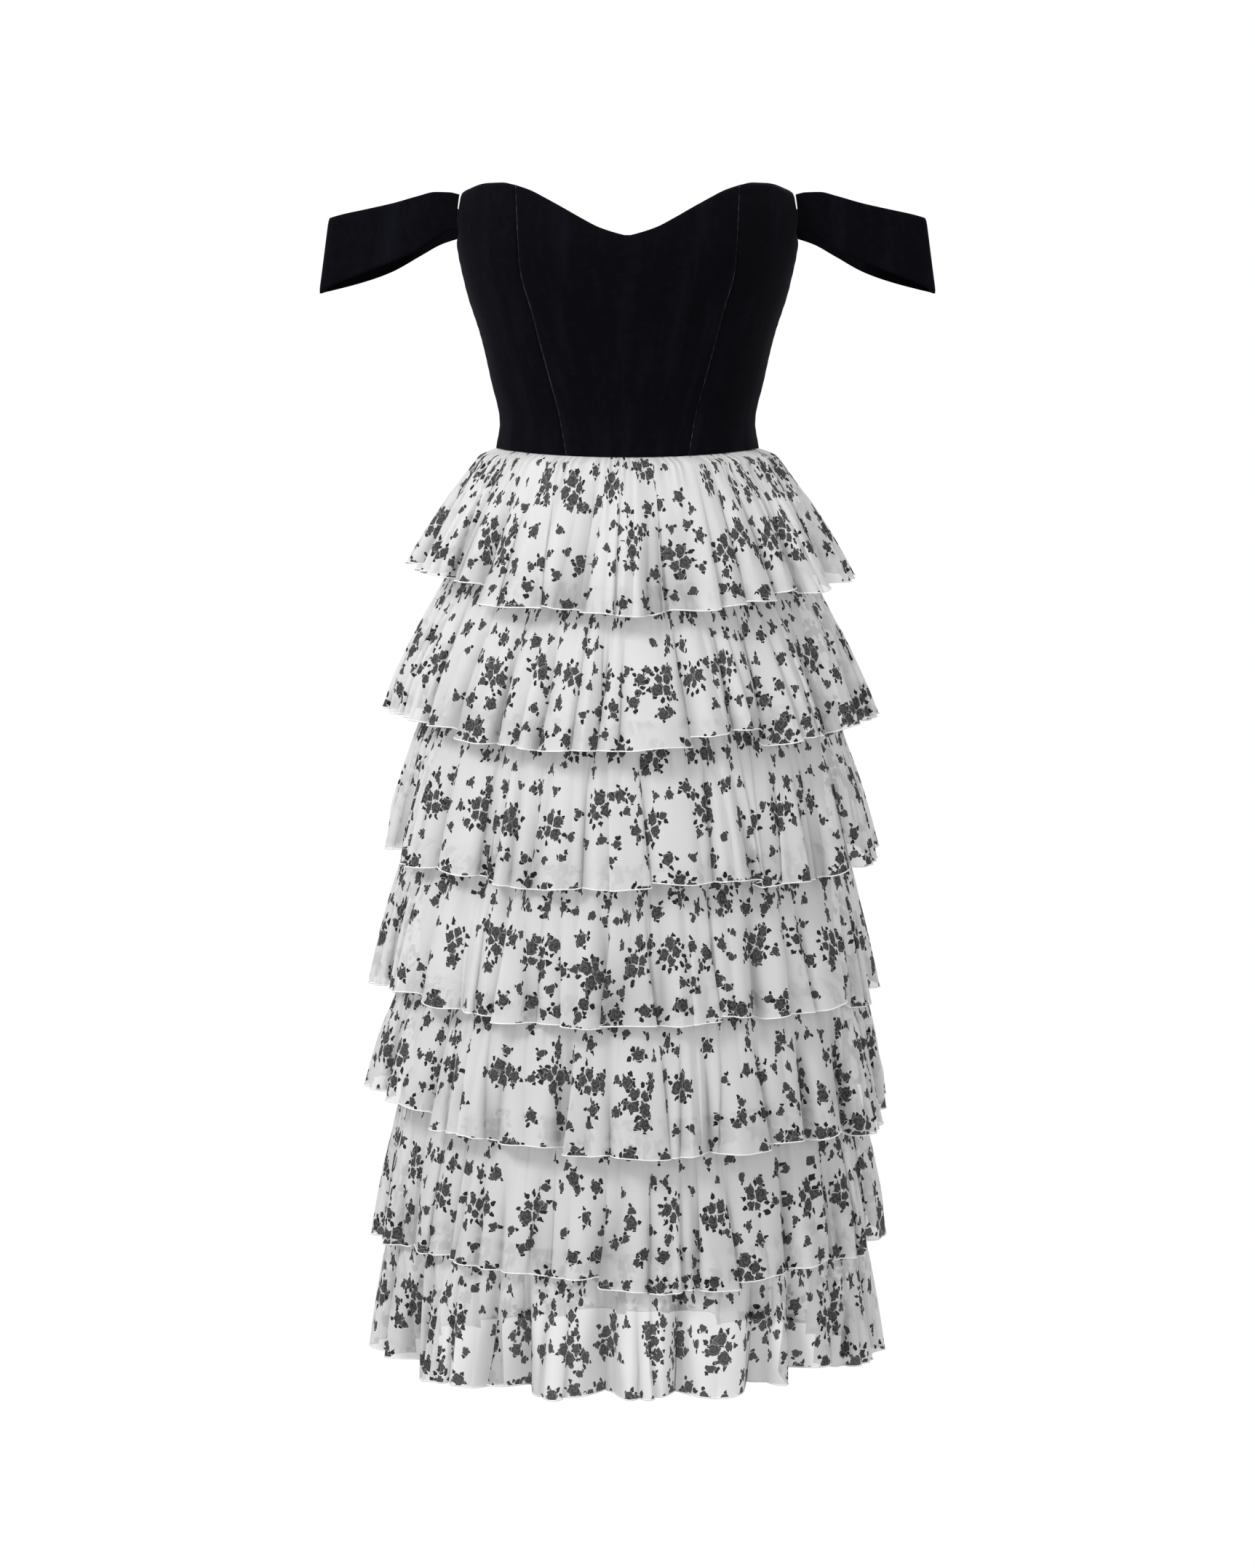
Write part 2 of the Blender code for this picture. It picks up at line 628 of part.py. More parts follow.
def make_pull(metal, collection):
    flat = bpy.data.curves.new("zip_pull", "CURVE")
    flat.dimensions = "2D"
    flat.fill_mode = "BOTH"
    flat.extrude = tab_half_thickness / 1000
    for outline in (tab_outline(), tab_hole()):
        spline = flat.splines.new("POLY")
        spline.points.add(len(outline) - 1)
        spline.use_cyclic_u = True
        for point, (across, along) in zip(spline.points, outline):
            point.co = (across / 1000, along / 1000, 0.0, 1.0)
    pull = add_object("zip_pull", flat, metal, collection)
    pull.location, _ = off_velvet(slider_gap + SLIDER_SIZE[1] + tab_axis_height)
    pull.rotation_euler = (math.pi / 2, 0.0, 0.0)


def main():
    for old in list(bpy.data.objects):
        bpy.data.objects.remove(old)
    collection = bpy.data.collections.new(NAME)
    cutters = bpy.data.collections.new("cutters")
    bpy.context.scene.collection.children.link(collection)
    bpy.context.scene.collection.children.link(cutters)

    velvet = paint("black_velvet", (0.004, 0.004, 0.007), 0.85)
    chiffon = paint("printed_chiffon", (0.62, 0.62, 0.63), 0.7)
    lining = paint("white_lining", (0.80, 0.80, 0.80), 0.7)
    metal = paint("black_metal", (0.02, 0.02, 0.022), 0.35, 1.0)

    make_bodice(velvet, collection)
    make_sleeves(velvet, collection)
    make_underskirt(lining, collection)
    make_tiers(chiffon, collection)
    make_slider(metal, collection, cutters)
    make_pull(metal, collection)


main()
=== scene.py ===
import math
from collections import namedtuple

import bpy
import numpy as np
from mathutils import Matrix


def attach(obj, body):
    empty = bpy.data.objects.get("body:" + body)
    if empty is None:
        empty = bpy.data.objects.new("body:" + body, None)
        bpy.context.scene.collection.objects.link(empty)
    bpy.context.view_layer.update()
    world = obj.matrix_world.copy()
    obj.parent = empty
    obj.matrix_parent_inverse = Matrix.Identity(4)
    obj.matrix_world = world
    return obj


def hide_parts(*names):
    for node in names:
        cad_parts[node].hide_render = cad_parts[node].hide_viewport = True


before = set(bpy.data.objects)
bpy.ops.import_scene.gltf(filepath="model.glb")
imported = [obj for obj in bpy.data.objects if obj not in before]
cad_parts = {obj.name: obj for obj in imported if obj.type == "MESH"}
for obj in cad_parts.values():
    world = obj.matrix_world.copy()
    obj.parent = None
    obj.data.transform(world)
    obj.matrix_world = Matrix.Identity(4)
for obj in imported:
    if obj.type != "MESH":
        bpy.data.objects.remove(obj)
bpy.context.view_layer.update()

# The cut of the dress, as in the part

velvet_wall = 0.002
seam_gap = 0.0003
flute_spacing = 0.076
tier_stand_off = 0.0028
chiffon_wall = 0.0012
lap_height = 0.003
pinch = 0.75                # a little more than in the part
fall_power = 1.15
hem_swell = 0.2
dip_power = 1.5

SECTIONS = (
    (-0.012, 0.1252, 0.0950, 0.0885, 2.00),
    (0.000, 0.1240, 0.0940, 0.0880, 2.00),
    (0.023, 0.1208, 0.0920, 0.0860, 2.02),
    (0.064, 0.1287, 0.1000, 0.0900, 2.08),
    (0.109, 0.1396, 0.1130, 0.0960, 2.18),
    (0.150, 0.1524, 0.1260, 0.1010, 2.28),
    (0.185, 0.1600, 0.1320, 0.1040, 2.34),
    (0.215, 0.1630, 0.1280, 0.1050, 2.36),
    (0.250, 0.1600, 0.1150, 0.1050, 2.36),
)
TOP_EDGE = (
    (0.0, 0.1932), (6.8, 0.2012), (12.0, 0.2099), (17.6, 0.2193), (23.7, 0.2283), (30.3, 0.2366),
    (36.7, 0.2415), (43.0, 0.2444), (51.2, 0.2446), (63.8, 0.2410), (73.2, 0.2370), (76.5, 0.2000),
    (90.0, 0.1952), (103.5, 0.2000), (107.0, 0.2250), (125.0, 0.2120), (150.0, 0.1980), (180.0, 0.1900),
)
waist_front = -0.009
waist_back = -0.006
FRONT_SEAM = ((-0.009, 0.0570), (0.028, 0.0635), (0.049, 0.0690), (0.086, 0.0790), (0.124, 0.0890),
              (0.166, 0.1000), (0.201, 0.1020), (0.242, 0.1040))
BACK_SEAM = ((-0.009, 0.0480), (0.050, 0.0540), (0.124, 0.0700), (0.200, 0.0850))
side_seam_angle = 90.0
seam_gap_half_width = 0.1208

SLEEVE = (
    (0.1570, -0.0405, 0.2365, 0.2050),
    (0.1660, -0.0390, 0.2385, 0.2030),
    (0.1800, -0.0370, 0.2390, 0.1940),
    (0.1960, -0.0335, 0.2355, 0.1830),
    (0.2215, -0.0250, 0.2290, 0.1720),
    (0.2470, -0.0145, 0.2240, 0.1620),
    (0.2700, -0.0055, 0.2195, 0.1525),
    (0.2790, -0.0015, 0.2172, 0.1475),
    (0.2815, 0.0040, 0.2166, 0.1456),
    (0.2790, 0.0095, 0.2170, 0.1465),
    (0.2700, 0.0140, 0.2185, 0.1490),
    (0.2470, 0.0235, 0.2230, 0.1560),
    (0.2215, 0.0345, 0.2280, 0.1665),
    (0.1960, 0.0440, 0.2320, 0.1820),
    (0.1760, 0.0470, 0.2330, 0.1940),
    (0.1590, 0.0420, 0.2250, 0.2010),
)
joint_gap = 0.0006
sleeve_lean = 0.0095

waist_depth_ratios = (0.758, 0.710)
hip_depth_ratio = 0.800
hem_depth_ratio = 0.825
hip_level = -0.15
knee_level = -0.50

Level = namedtuple("Level", "side front back")
Tier = namedtuple("Tier", "seam_half shoulder_half hem_half off_centre shoulder_drop seam hem flute_depth")
TIERS = {
    "tier_1": Tier(0.1235, 0.144, 0.2130, 0.0018, 0.010, None,
                   Level(-0.115, -0.150, -0.128), 0.0280),
    "tier_2": Tier(0.1500, 0.170, 0.2350, 0.0022, 0.022, Level(-0.092, -0.128, -0.104),
                   Level(-0.251, -0.279, -0.258), 0.0250),
    "tier_3": Tier(0.1780, 0.197, 0.2352, 0.0030, 0.022, Level(-0.228, -0.250, -0.234),
                   Level(-0.381, -0.402, -0.385), 0.0165),
    "tier_4": Tier(0.1900, 0.210, 0.2420, -0.0020, 0.020, Level(-0.360, -0.380, -0.363),
                   Level(-0.508, -0.522, -0.508), 0.0120),
    "tier_5": Tier(0.1980, 0.2205, 0.2505, 0.0025, 0.020, Level(-0.486, -0.500, -0.485),
                   Level(-0.618, -0.640, -0.612), 0.0210),
    "tier_6": Tier(0.2030, 0.218, 0.2445, 0.0025, 0.022, Level(-0.588, -0.612, -0.586),
                   Level(-0.742, -0.758, -0.738), 0.0130),
    "tier_7": Tier(0.2070, 0.223, 0.2440, -0.0008, 0.022, Level(-0.706, -0.734, -0.704),
                   Level(-0.862, -0.858, -0.860), 0.0480),
}
underskirt_inset = 0.0004
underskirt_start = 0.001
underskirt_end = 0.010
underskirt_flare = 0.0005

# Creases by angle: width (mm), depth (share of the tier's), lap, and how far the flute after it hangs
# below the tier's level (mm)
Crease = namedtuple("Crease", "angle width depth lap drop")
CREASES = {
    "tier_1": (
        (-98, 9, 0.7, 0, -7), (-77, 9, 0.6, 0, -8), (-55, 10, 0.6, 0, -9), (-42, 9, 0.8, 1, 4),
        (-24.5, 8, 0.4, -1, -1), (-12.5, 9, 0.7, 1, 3), (9, 10, 0.3, 0, 1), (31, 8, 0.6, -1, 0),
        (40, 8, 0.7, -1, -4), (50, 9, 0.7, 0, 4), (66, 9, 0.5, 0, 5),
    ),
    "tier_2": (
        (-100, 9, 0.6, 0, -5), (-75, 8, 0.5, 0, -8), (-57, 9, 0.5, 0, -7), (-46, 8, 0.5, 1, -1),
        (-33.5, 9, 0.4, 0, -1), (-20.5, 8, 0.7, 1, -2), (-6.5, 8, 0.6, 1, -5), (13.5, 9, 0.9, -1, -16),
        (24, 8, 0.4, 0, -16), (34, 9, 0.9, 1, 0), (54, 10, 0.6, 0, 0), (71, 9, 0.6, 0, -1),
    ),
    "tier_3": (
        (-98, 9, 0.8, 0, -7), (-72, 9, 1.0, 0, -1), (-52.5, 9, 0.6, 0, -4), (-35, 9, 0.5, 0, 2),
        (-24, 9, 0.8, 1, 1), (-11.5, 9, 0.4, 0, -2), (3.5, 8, 0.7, -1, -6), (19.5, 8, 0.5, 0, -4),
        (30.5, 8, 0.7, -1, 3), (38.5, 8, 0.8, 1, 5), (49, 8, 0.6, 0, 3), (64, 8, 0.6, 0, 4),
    ),
    "tier_4": (
        (-100, 9, 0.6, 0, -5), (-70, 9, 0.9, 0, -9), (-53.5, 9, 0.6, 0, -4), (-39.5, 8, 0.5, 0, -1),
        (-29.5, 9, 0.9, 1, 2), (-20.5, 8, 0.6, 0, 3), (-4, 9, 0.8, 1, 3), (6, 8, 0.7, -1, 1),
        (20.5, 8, 0.9, -1, -3), (31.5, 8, 0.6, 0, 2), (45.5, 9, 0.8, -1, 1), (61.5, 8, 0.5, 0, 8),
    ),
    "tier_5": (
        (-102, 9, 0.8, 0, -17), (-71, 9, 0.7, 0, -18), (-49, 9, 0.9, 1, -5), (-30.5, 9, 0.5, 0, -4),
        (-13.5, 9, 0.8, 1, 0), (-4.5, 8, 0.5, 0, 3), (7.5, 8, 0.7, -1, 2), (17.5, 8, 0.7, 0, 3),
        (31, 9, 0.8, -1, 1), (43, 9, 0.7, 0, 3), (58, 9, 0.8, 0, 12),
    ),
    "tier_6": (
        (-100, 9, 0.7, 0, 2), (-78, 9, 0.6, 0, -3), (-60, 9, 0.6, 0, -9), (-43, 9, 0.9, 1, -6),
        (-30.5, 8, 0.6, 0, -4), (-18, 9, 0.5, 0, -5), (-5.5, 9, 0.9, 1, 6), (4, 8, 0.6, 0, 8),
        (15, 8, 0.7, 0, 9), (23.5, 9, 0.9, -1, 3), (38, 9, 0.7, 0, -2), (52, 8, 0.6, 0, 2),
        (70, 8, 0.6, 0, -1),
    ),
    "tier_7": (
        (-101, 9, 0.7, 0, -11), (-75.5, 9, 0.8, 0, -12), (-59.5, 11, 0.8, 0, 0), (-33, 9, 0.7, 1, -1),
        (-24.5, 11, 0.9, 0, 4), (-5.5, 15, 1.0, 0, 3), (12, 9, 0.8, 0, 3), (32, 13, 1.0, 0, -2),
        (42, 9, 0.8, 0, -13), (58, 10, 0.7, 0, -7), (80, 9, 0.7, 0, -5),
    ),
}
HIDDEN_CREASES = Crease((0.0, 0.24), (9.0, 1.5), (0.72, 0.25), (0.0, 1.4), (0.0, 3.5))
hidden_angle = 135.0
drop_blend = 1.2

# A pair is a middle value and how far it goes to either side. A wave has a height, a count round the
# dress, and how many degrees its start moves from one tier to the next.

flute_start = (0.08, 0.05)  # share of the way down
flute_lean = (0.0, 1.6)
flute_widening = (0.85, 0.30)   # at the seam, and what is added by the hem
lap_place = 0.9             # in widths of the crease, as the next four
lap_width = 0.62
tuck_width = 0.5
tuck_pull = 0.45
lap_pull = 1.05
lap_rise = 0.0012
crown_most = 0.0110         # how far a flute's face rounds away to its creases
crown_share = 0.15
crown_power = 2.4

fold_count = 50             # the broad folds round a tier, between its laps
fold_drift = ((0.75, 7, 50), (0.50, 13, 35))
fold_wander = (0.34, 3, 80)
fold_depth = (0.0072, 0.0048)
fold_start = (0.06, 0.14)
fold_growth = 0.8
fold_outward = 0.0016
fold_swing = (0.0, 0.0075)
fold_shade_power = 2.2

crease_count = 54           # the short creases
crease_lean = (0.0, 5.0)
crease_width = (0.0085, 0.0040)
crease_depth = (0.0034, 0.0024)
crease_reach = (0.55, 0.35)
crease_sharpness = 1.35
crease_tuck = 0.35

waist_gathers = 104
seam_gathers = 150
gather_drift = ((0.9, 7, 40), (0.7, 17, 70))
gather_reach = (0.012, 0.034)   # the shortest, and how much longer the longest is
gather_depth = (0.0019, 0.0011)
soft_gather_depth = 0.0010
soft_gather_reach = 0.05

deeper_than_flutes = 0.008
clear_of_next_tier = 0.003
outward_most = 0.003
hem_wave = (0.0014, 19, 60)
hem_radius = 0.00065
hem_lift = 0.0004

seam_sink = (0.0011, 0.0020)    # depth and width, as the next two
seam_pucker = (0.00022, 0.006)
top_roll = (0.0010, 0.0022)
panel_ripple = 0.00035
thread_radius = 0.00045
thread_inset = 0.0014
thread_points = 150
sleeve_folds = 9
sleeve_fold_place = (0.5, 0.42)
sleeve_fold_width = (0.05, 0.03)
sleeve_fold_slope = 0.22
sleeve_fold_depth = 0.0011
underskirt_wall = 0.0006
underskirt_fold = 0.0016
underskirt_band_rows = 8

# How finely the cloth is laid out
tier_columns = 1080
tier_rows = 42
panel_columns = 36
panel_rows = 72
sleeve_columns = 150
sleeve_rows = 22
underskirt_columns = 180

# The print: the cell that holds one motif, how far it strays in the cell, and the share of cells with one
Motif = namedtuple("Motif", "cell stray seed share rose leaves leaf_start leaf_length leaf_width leaf_seed")
CLUSTER = Motif(0.069, 0.34, 3, 0.86, 0.0064, 12, 0.0122, 0.0074, 0.0025, 7.0)
ROSE = Motif(0.031, 0.46, 11, 0.60, 0.0060, 5, 0.0058, 0.0050, 0.0024, 13.0)
BUD = Motif(0.0215, 0.48, 23, 0.50, 0.0043, 3, 0.0038, 0.0044, 0.0022, 29.0)
cluster_roses = 4
cluster_ring = 0.0080
cluster_seed = 5.0
print_raggedness = 0.0060
print_step = (0.37, 0.21)   # how far the print moves from one tier to the next, across and down

# The chiffon: its whiteness, the painted shade in its folds, its ink and how much light comes through
white_tone = (0.935, 0.045)
fold_shade = 0.44
leaf_ink, rose_ink, whorl_ink = 0.0010, 0.046, 0.030
glow_share = 0.30
sheerness = 0.26
flower_sheerness = 0.04

# The studio: key, fill and back lights (place, turn in degrees, power, size) and the white all round
surround = 0.68             # how strongly the white studio lights the dress
floor_share = 0.44          # and how strongly its floor does
floor_level = -1.07
floor_size = 60.0
LIGHTS = (
    ("key", (-1.8, -2.0, 1.6), (56, 0, -42), 62.0, 0.9),
    ("fill", (2.6, -2.6, 0.4), (86, 0, 45), 19.0, 2.0),
    ("back", (0.6, 3.0, 1.8), (-62, 0, -12), 34.0, 2.0),
)
camera_place = (0.0, -4.0424, -0.01205)
camera_tilt = 1.604
camera_lens = 98.154
camera_film = 36.0
camera_shift = -0.13


class Curve:
    """A smooth curve through the rows of a table, read at many places at once."""

    def __init__(self, rows, column=1):
        self.places = np.array([row[0] for row in rows], float)
        self.values = np.array([row[column] for row in rows], float)
        rise = np.diff(self.values) / np.diff(self.places)
        self.slopes = np.concatenate((rise[:1], np.zeros(len(rise) - 1), rise[-1:]))
        for k in range(1, len(rise)):
            if rise[k - 1] * rise[k] > 0:
                self.slopes[k] = 2 * rise[k - 1] * rise[k] / (rise[k - 1] + rise[k])

    def __call__(self, at):
        at = np.clip(at, self.places[0], self.places[-1])
        i = np.clip(np.searchsorted(self.places, at) - 1, 0, len(self.places) - 2)
        step = self.places[i + 1] - self.places[i]
        t = (at - self.places[i]) / step
        start, end = self.slopes[i] * step, self.slopes[i + 1] * step
        return (self.values[i] * (1 + 2 * t) * (1 - t) ** 2 + start * t * (1 - t) ** 2
                + self.values[i + 1] * t * t * (3 - 2 * t) - end * t * t * (1 - t))


SECTION_CURVES = [Curve(SECTIONS, column) for column in (1, 2, 3, 4)]
top_edge = Curve(TOP_EDGE)
front_seam = Curve(FRONT_SEAM)
back_seam = Curve(BACK_SEAM)


def signed_power(value, power):
    return np.copysign(np.abs(value) ** power, value)


def ease(t):
    t = np.clip(t, 0.0, 1.0)
    return t * t * (3 - 2 * t)


def uneven(number, seed):
    """A steady, unordered value from -1 to 1 for a count."""
    return 2 * ((number * 0.618034 + seed * 0.37) % 1.0) - 1


def spread(pair, number, seed):
    """The middle of a pair, moved unevenly by up to its spread from one count to the next."""
    return pair[0] + pair[1] * uneven(number, seed)


def wave_round(angle, wave, seed):
    height, turns, start = wave
    return height * np.sin(np.radians(angle * turns + start * seed))


def hump(distance, size):
    """A bell of a height and a width."""
    return size[0] * np.exp(-(distance / size[1]) ** 2)


def grid_normals(points, closed):
    """Outward normals of a grid of points whose rows run down and whose columns run towards +X."""
    if closed:
        along = np.roll(points, -1, 1) - np.roll(points, 1, 1)
    else:
        along = np.gradient(points, axis=1)
    down = np.gradient(points, axis=0)
    normals = np.cross(down, along)
    return normals / np.maximum(np.linalg.norm(normals, axis=2, keepdims=True), 1e-12)


def add_cloth(name, points, closed, materials, across, down):
    """A sheet through a grid of points, with its UV map in metres of flat cloth."""
    rows, columns = points.shape[:2]
    wide = columns if closed else columns - 1
    i, j = np.meshgrid(np.arange(rows - 1), np.arange(wide), indexing="ij")
    k = (j + 1) % columns
    faces = np.stack((i * columns + j, (i + 1) * columns + j, (i + 1) * columns + k, i * columns + k), -1)
    mesh = bpy.data.meshes.new(name)
    mesh.vertices.add(rows * columns)
    mesh.vertices.foreach_set("co", points.astype(np.float32).ravel())
    count = faces.shape[0] * faces.shape[1]
    mesh.loops.add(count * 4)
    mesh.loops.foreach_set("vertex_index", faces.astype(np.int32).ravel())
    mesh.polygons.add(count)
    mesh.polygons.foreach_set("loop_start", np.arange(0, count * 4, 4, dtype=np.int32))
    mesh.polygons.foreach_set("use_smooth", np.ones(count, dtype=bool))
    mesh.update(calc_edges=True)
    mesh.validate()
    flat = mesh.uv_layers.new(name="cloth")
    places = np.stack((
        np.stack((across[i, j], across[i + 1, j], across[i + 1, j + 1], across[i, j + 1]), -1),
        np.stack((down[i, j], down[i + 1, j], down[i + 1, k], down[i, k]), -1),
    ), -1)
    flat.data.foreach_set("uv", places.astype(np.float32).ravel())
    piece = bpy.data.objects.new(name, mesh)
    bpy.context.scene.collection.objects.link(piece)
    for material in materials:
        mesh.materials.append(material)
    return piece


def lengths_along(points, closed):
    """Distance along each row of a grid, with one more column where the row closes."""
    ring = np.concatenate((points, points[:, :1]), 1) if closed else points
    steps = np.linalg.norm(np.diff(ring, axis=1), axis=2)
    return np.concatenate((np.zeros((len(points), 1)), np.cumsum(steps, 1)), 1)


def lengths_down(points):
    steps = np.linalg.norm(np.diff(points, axis=0), axis=2)
    return np.concatenate((np.zeros((1, points.shape[1])), np.cumsum(steps, 0)), 0)


def add_tube(name, path, radius, closed, sides, material):
    """A thin round edge or thread along a path."""
    count = len(path)
    if closed:
        way = np.roll(path, -1, 0) - np.roll(path, 1, 0)
    else:
        way = np.gradient(path, axis=0)
    way /= np.maximum(np.linalg.norm(way, axis=1, keepdims=True), 1e-12)
    up = np.array((0.0, 0.0, 1.0)) - way * way[:, 2:3]
    up /= np.maximum(np.linalg.norm(up, axis=1, keepdims=True), 1e-12)
    side = np.cross(way, up)
    turns = 2 * np.pi * np.arange(sides) / sides
    ring = (np.cos(turns)[:, None, None] * up[None] + np.sin(turns)[:, None, None] * side[None]) * radius
    verts = (path[None] + ring).reshape(-1, 3)
    span = count if closed else count - 1
    faces = []
    for s in range(sides):
        t = (s + 1) % sides
        for c in range(span):
            d = (c + 1) % count
            faces.append((s * count + c, t * count + c, t * count + d, s * count + d))
    if not closed:
        faces.append(tuple(s * count for s in reversed(range(sides))))
        faces.append(tuple(s * count + count - 1 for s in range(sides)))
    mesh = bpy.data.meshes.new(name)
    mesh.from_pydata(verts.tolist(), [], faces)
    mesh.update()
    mesh.shade_smooth()
    mesh.materials.append(material)
    piece = bpy.data.objects.new(name, mesh)
    bpy.context.scene.collection.objects.link(piece)
    return piece


def thicken(piece, wall, lined):
    """Gives a sheet its wall on the inner side. With lined, the inner side takes the second material."""
    wall_maker = piece.modifiers.new("wall", "SOLIDIFY")
    wall_maker.thickness = wall
    wall_maker.offset = -1.0
    wall_maker.material_offset = int(lined)
    bpy.ops.object.select_all(action="DESELECT")
    piece.select_set(True)
    bpy.context.view_layer.objects.active = piece
    bpy.ops.object.modifier_apply(modifier=wall_maker.name)
    piece.select_set(False)


# Materials

class Field:
    """A number that varies over a surface, written as in a formula."""

    def __init__(self, recipe, socket):
        self.recipe = recipe
        self.socket = socket

    def maths(self, operation, *others):
        values = dict(enumerate((self, *others)))
        return Field(self.recipe, self.recipe.node("Math", {"operation": operation}, values).outputs[0])

    def __add__(self, other):
        return self.maths("ADD", other)

    def __sub__(self, other):
        return self.maths("SUBTRACT", other)

    def __mul__(self, other):
        return self.maths("MULTIPLY", other)

    def __truediv__(self, other):
        return self.maths("DIVIDE", other)

    def __rsub__(self, other):
        return (self * -1.0).maths("ADD", other)

    __radd__ = __add__
    __rmul__ = __mul__

    def __pow__(self, power):
        return self.maths("POWER", power)

    def least(self, other):
        return self.maths("MINIMUM", other)

    def most(self, other):
        return self.maths("MAXIMUM", other)

    def above(self, other):
        return self.maths("GREATER_THAN", other)

    def below(self, other):
        return self.maths("LESS_THAN", other)

    def size(self):
        return self.maths("ABSOLUTE")

    def floor(self):
        return self.maths("FLOOR")

    def part(self):
        """What is left over a whole number."""
        return self.maths("FRACT")

    def wave(self):
        """The sine, with 1 for a whole turn."""
        return (self * (2 * math.pi)).maths("SINE")

    def held(self):
        """Kept from 0 to 1."""
        return self.most(0.0).least(1.0)

    def step(self, start, end):
        """From 0 at start to 1 at end, with soft ends."""
        node = self.recipe.node(
            "MapRange", {"interpolation_type": "SMOOTHSTEP"},
            {"Value": self, "From Min": start, "From Max": end, "To Min": 0.0, "To Max": 1.0},
        )
        return Field(self.recipe, node.outputs[0])


class Recipe:
    """One material and its nodes."""

    def __init__(self, name):
        self.material = bpy.data.materials.new(name)
        self.material.use_nodes = True
        self.tree = self.material.node_tree
        self.tree.nodes.clear()
        self.out = self.tree.nodes.new("ShaderNodeOutputMaterial")

    def node(self, kind, settings=None, inputs=None):
        made = self.tree.nodes.new("ShaderNode" + kind)
        for key, value in (settings or {}).items():
            setattr(made, key, value)
        for key, value in (inputs or {}).items():
            socket = made.inputs[key]
            if isinstance(value, Field):
                self.tree.links.new(value.socket, socket)
            elif isinstance(value, bpy.types.NodeSocket):
                self.tree.links.new(value, socket)
            else:
                socket.default_value = value
        return made

    def field(self, kind, settings=None, inputs=None, output=0):
        return Field(self, self.node(kind, settings, inputs).outputs[output])

    def finish(self, shader):
        self.tree.links.new(shader.outputs[0], self.out.inputs[0])
        return self.material

    def object_place(self):
        return self.node("TexCoord").outputs["Object"]

    def cloth_place(self):
        """Where a point is on the flat cloth, in metres."""
        place = self.node("UVMap", {"uv_map": "cloth"})
        parts = self.node("SeparateXYZ", None, {"Vector": place.outputs[0]})
        return Field(self, parts.outputs[0]), Field(self, parts.outputs[1])

    def vector(self, x, y, z):
        return self.node("CombineXYZ", None, {"X": x, "Y": y, "Z": z}).outputs[0]

    def noise(self, vector, scale, detail=2.0, roughness=0.5):
        return self.field("TexNoise", {"noise_dimensions": "3D"}, {
            "Vector": vector, "Scale": scale, "Detail": detail, "Roughness": roughness})

    def ink(self, share):
        """A colour that is grey by this share, for a Base Color that only changes in lightness."""
        return self.node("CombineColor", None, {"Red": share, "Green": share, "Blue": share}).outputs[0]


def white_noise(recipe, x, y, z):
    vector = recipe.vector(x, y, z)
    return recipe.node("TexWhiteNoise", {"noise_dimensions": "3D"}, {"Vector": vector})


def bloom(x, y, radius, wobble):
    """A rose as a ragged round blot: how much of it there is, and its soft whorl of petals."""
    turn = y.maths("ARCTAN2", x) / (2 * math.pi)
    ragged = (turn * 5.0 + wobble * 5.0).wave() * 0.11 + (turn * 8.0 + wobble * 9.0).wave() * 0.06 + 1.0
    reach = (x * x + y * y) ** 0.5 / (ragged * radius)
    whorl = (reach * 1.7 + turn * 2.0 + wobble).wave()
    return 1.0 - reach.step(0.90, 1.04), whorl


def sectors(recipe, turn, count, wobble, seed):
    """Splits a turn into sectors, each with its own chance."""
    along = turn * float(count) + wobble * 3.0
    chance = white_noise(recipe, along.floor(), wobble * 91.0, seed)
    return (along.part() - 0.5) * (2 * math.pi / count), Field(recipe, chance.outputs[0])


def blossoms(recipe, r, turn, wobble):
    """A cluster's roses, in a ring round a point, each a little off and of its own size."""
    off, chance = sectors(recipe, turn, cluster_roses, wobble, cluster_seed)
    x = r * off.maths("COSINE") - (chance * 0.5 + 0.75) * cluster_ring
    y = r * off.maths("SINE")
    rose, whorl = bloom(x, y, (chance * 0.45 + 0.72) * CLUSTER.rose, chance)
    apart = ((math.pi / cluster_roses - off.size()) * r).step(0.0002, 0.0007)
    return rose * apart, whorl


def leaves(recipe, r, turn, wobble, motif):
    """Pointed leaves that stand round a flower, each of its own length."""
    off, chance = sectors(recipe, turn, motif.leaves, wobble, motif.leaf_seed)
    t = (r - (chance * 0.3 + 0.85) * motif.leaf_start) / ((chance * 0.65 + 0.45) * motif.leaf_length)
    swell = (t.held() ** 0.8 * math.pi).maths("SINE") * motif.leaf_width
    blade = 1.0 - ((off * r).size() / (swell + 0.00002)).step(0.80, 1.05)
    return blade * t.above(0.02) * t.below(0.98) * chance.above(0.18)


def motif_place(recipe, u, v, motif):
    """Lays the cloth out in cells, each with a motif that is shifted and turned its own way."""
    cv = v / motif.cell
    cu = u / motif.cell + cv.floor() * 0.381966
    chance = white_noise(recipe, cu.floor(), cv.floor(), motif.seed + 0.5)
    parts = recipe.node("SeparateColor", None, {"Color": chance.outputs[1]})
    first, second, third = (Field(recipe, parts.outputs[k]) for k in range(3))
    x = (cu.part() - 0.5 - (first - 0.5) * motif.stray) * motif.cell
    y = (cv.part() - 0.5 - (second - 0.5) * motif.stray) * motif.cell
    turn = y.maths("ARCTAN2", x) / (2 * math.pi) + third
    return x, y, (x * x + y * y) ** 0.5, turn, second, Field(recipe, chance.outputs[0])


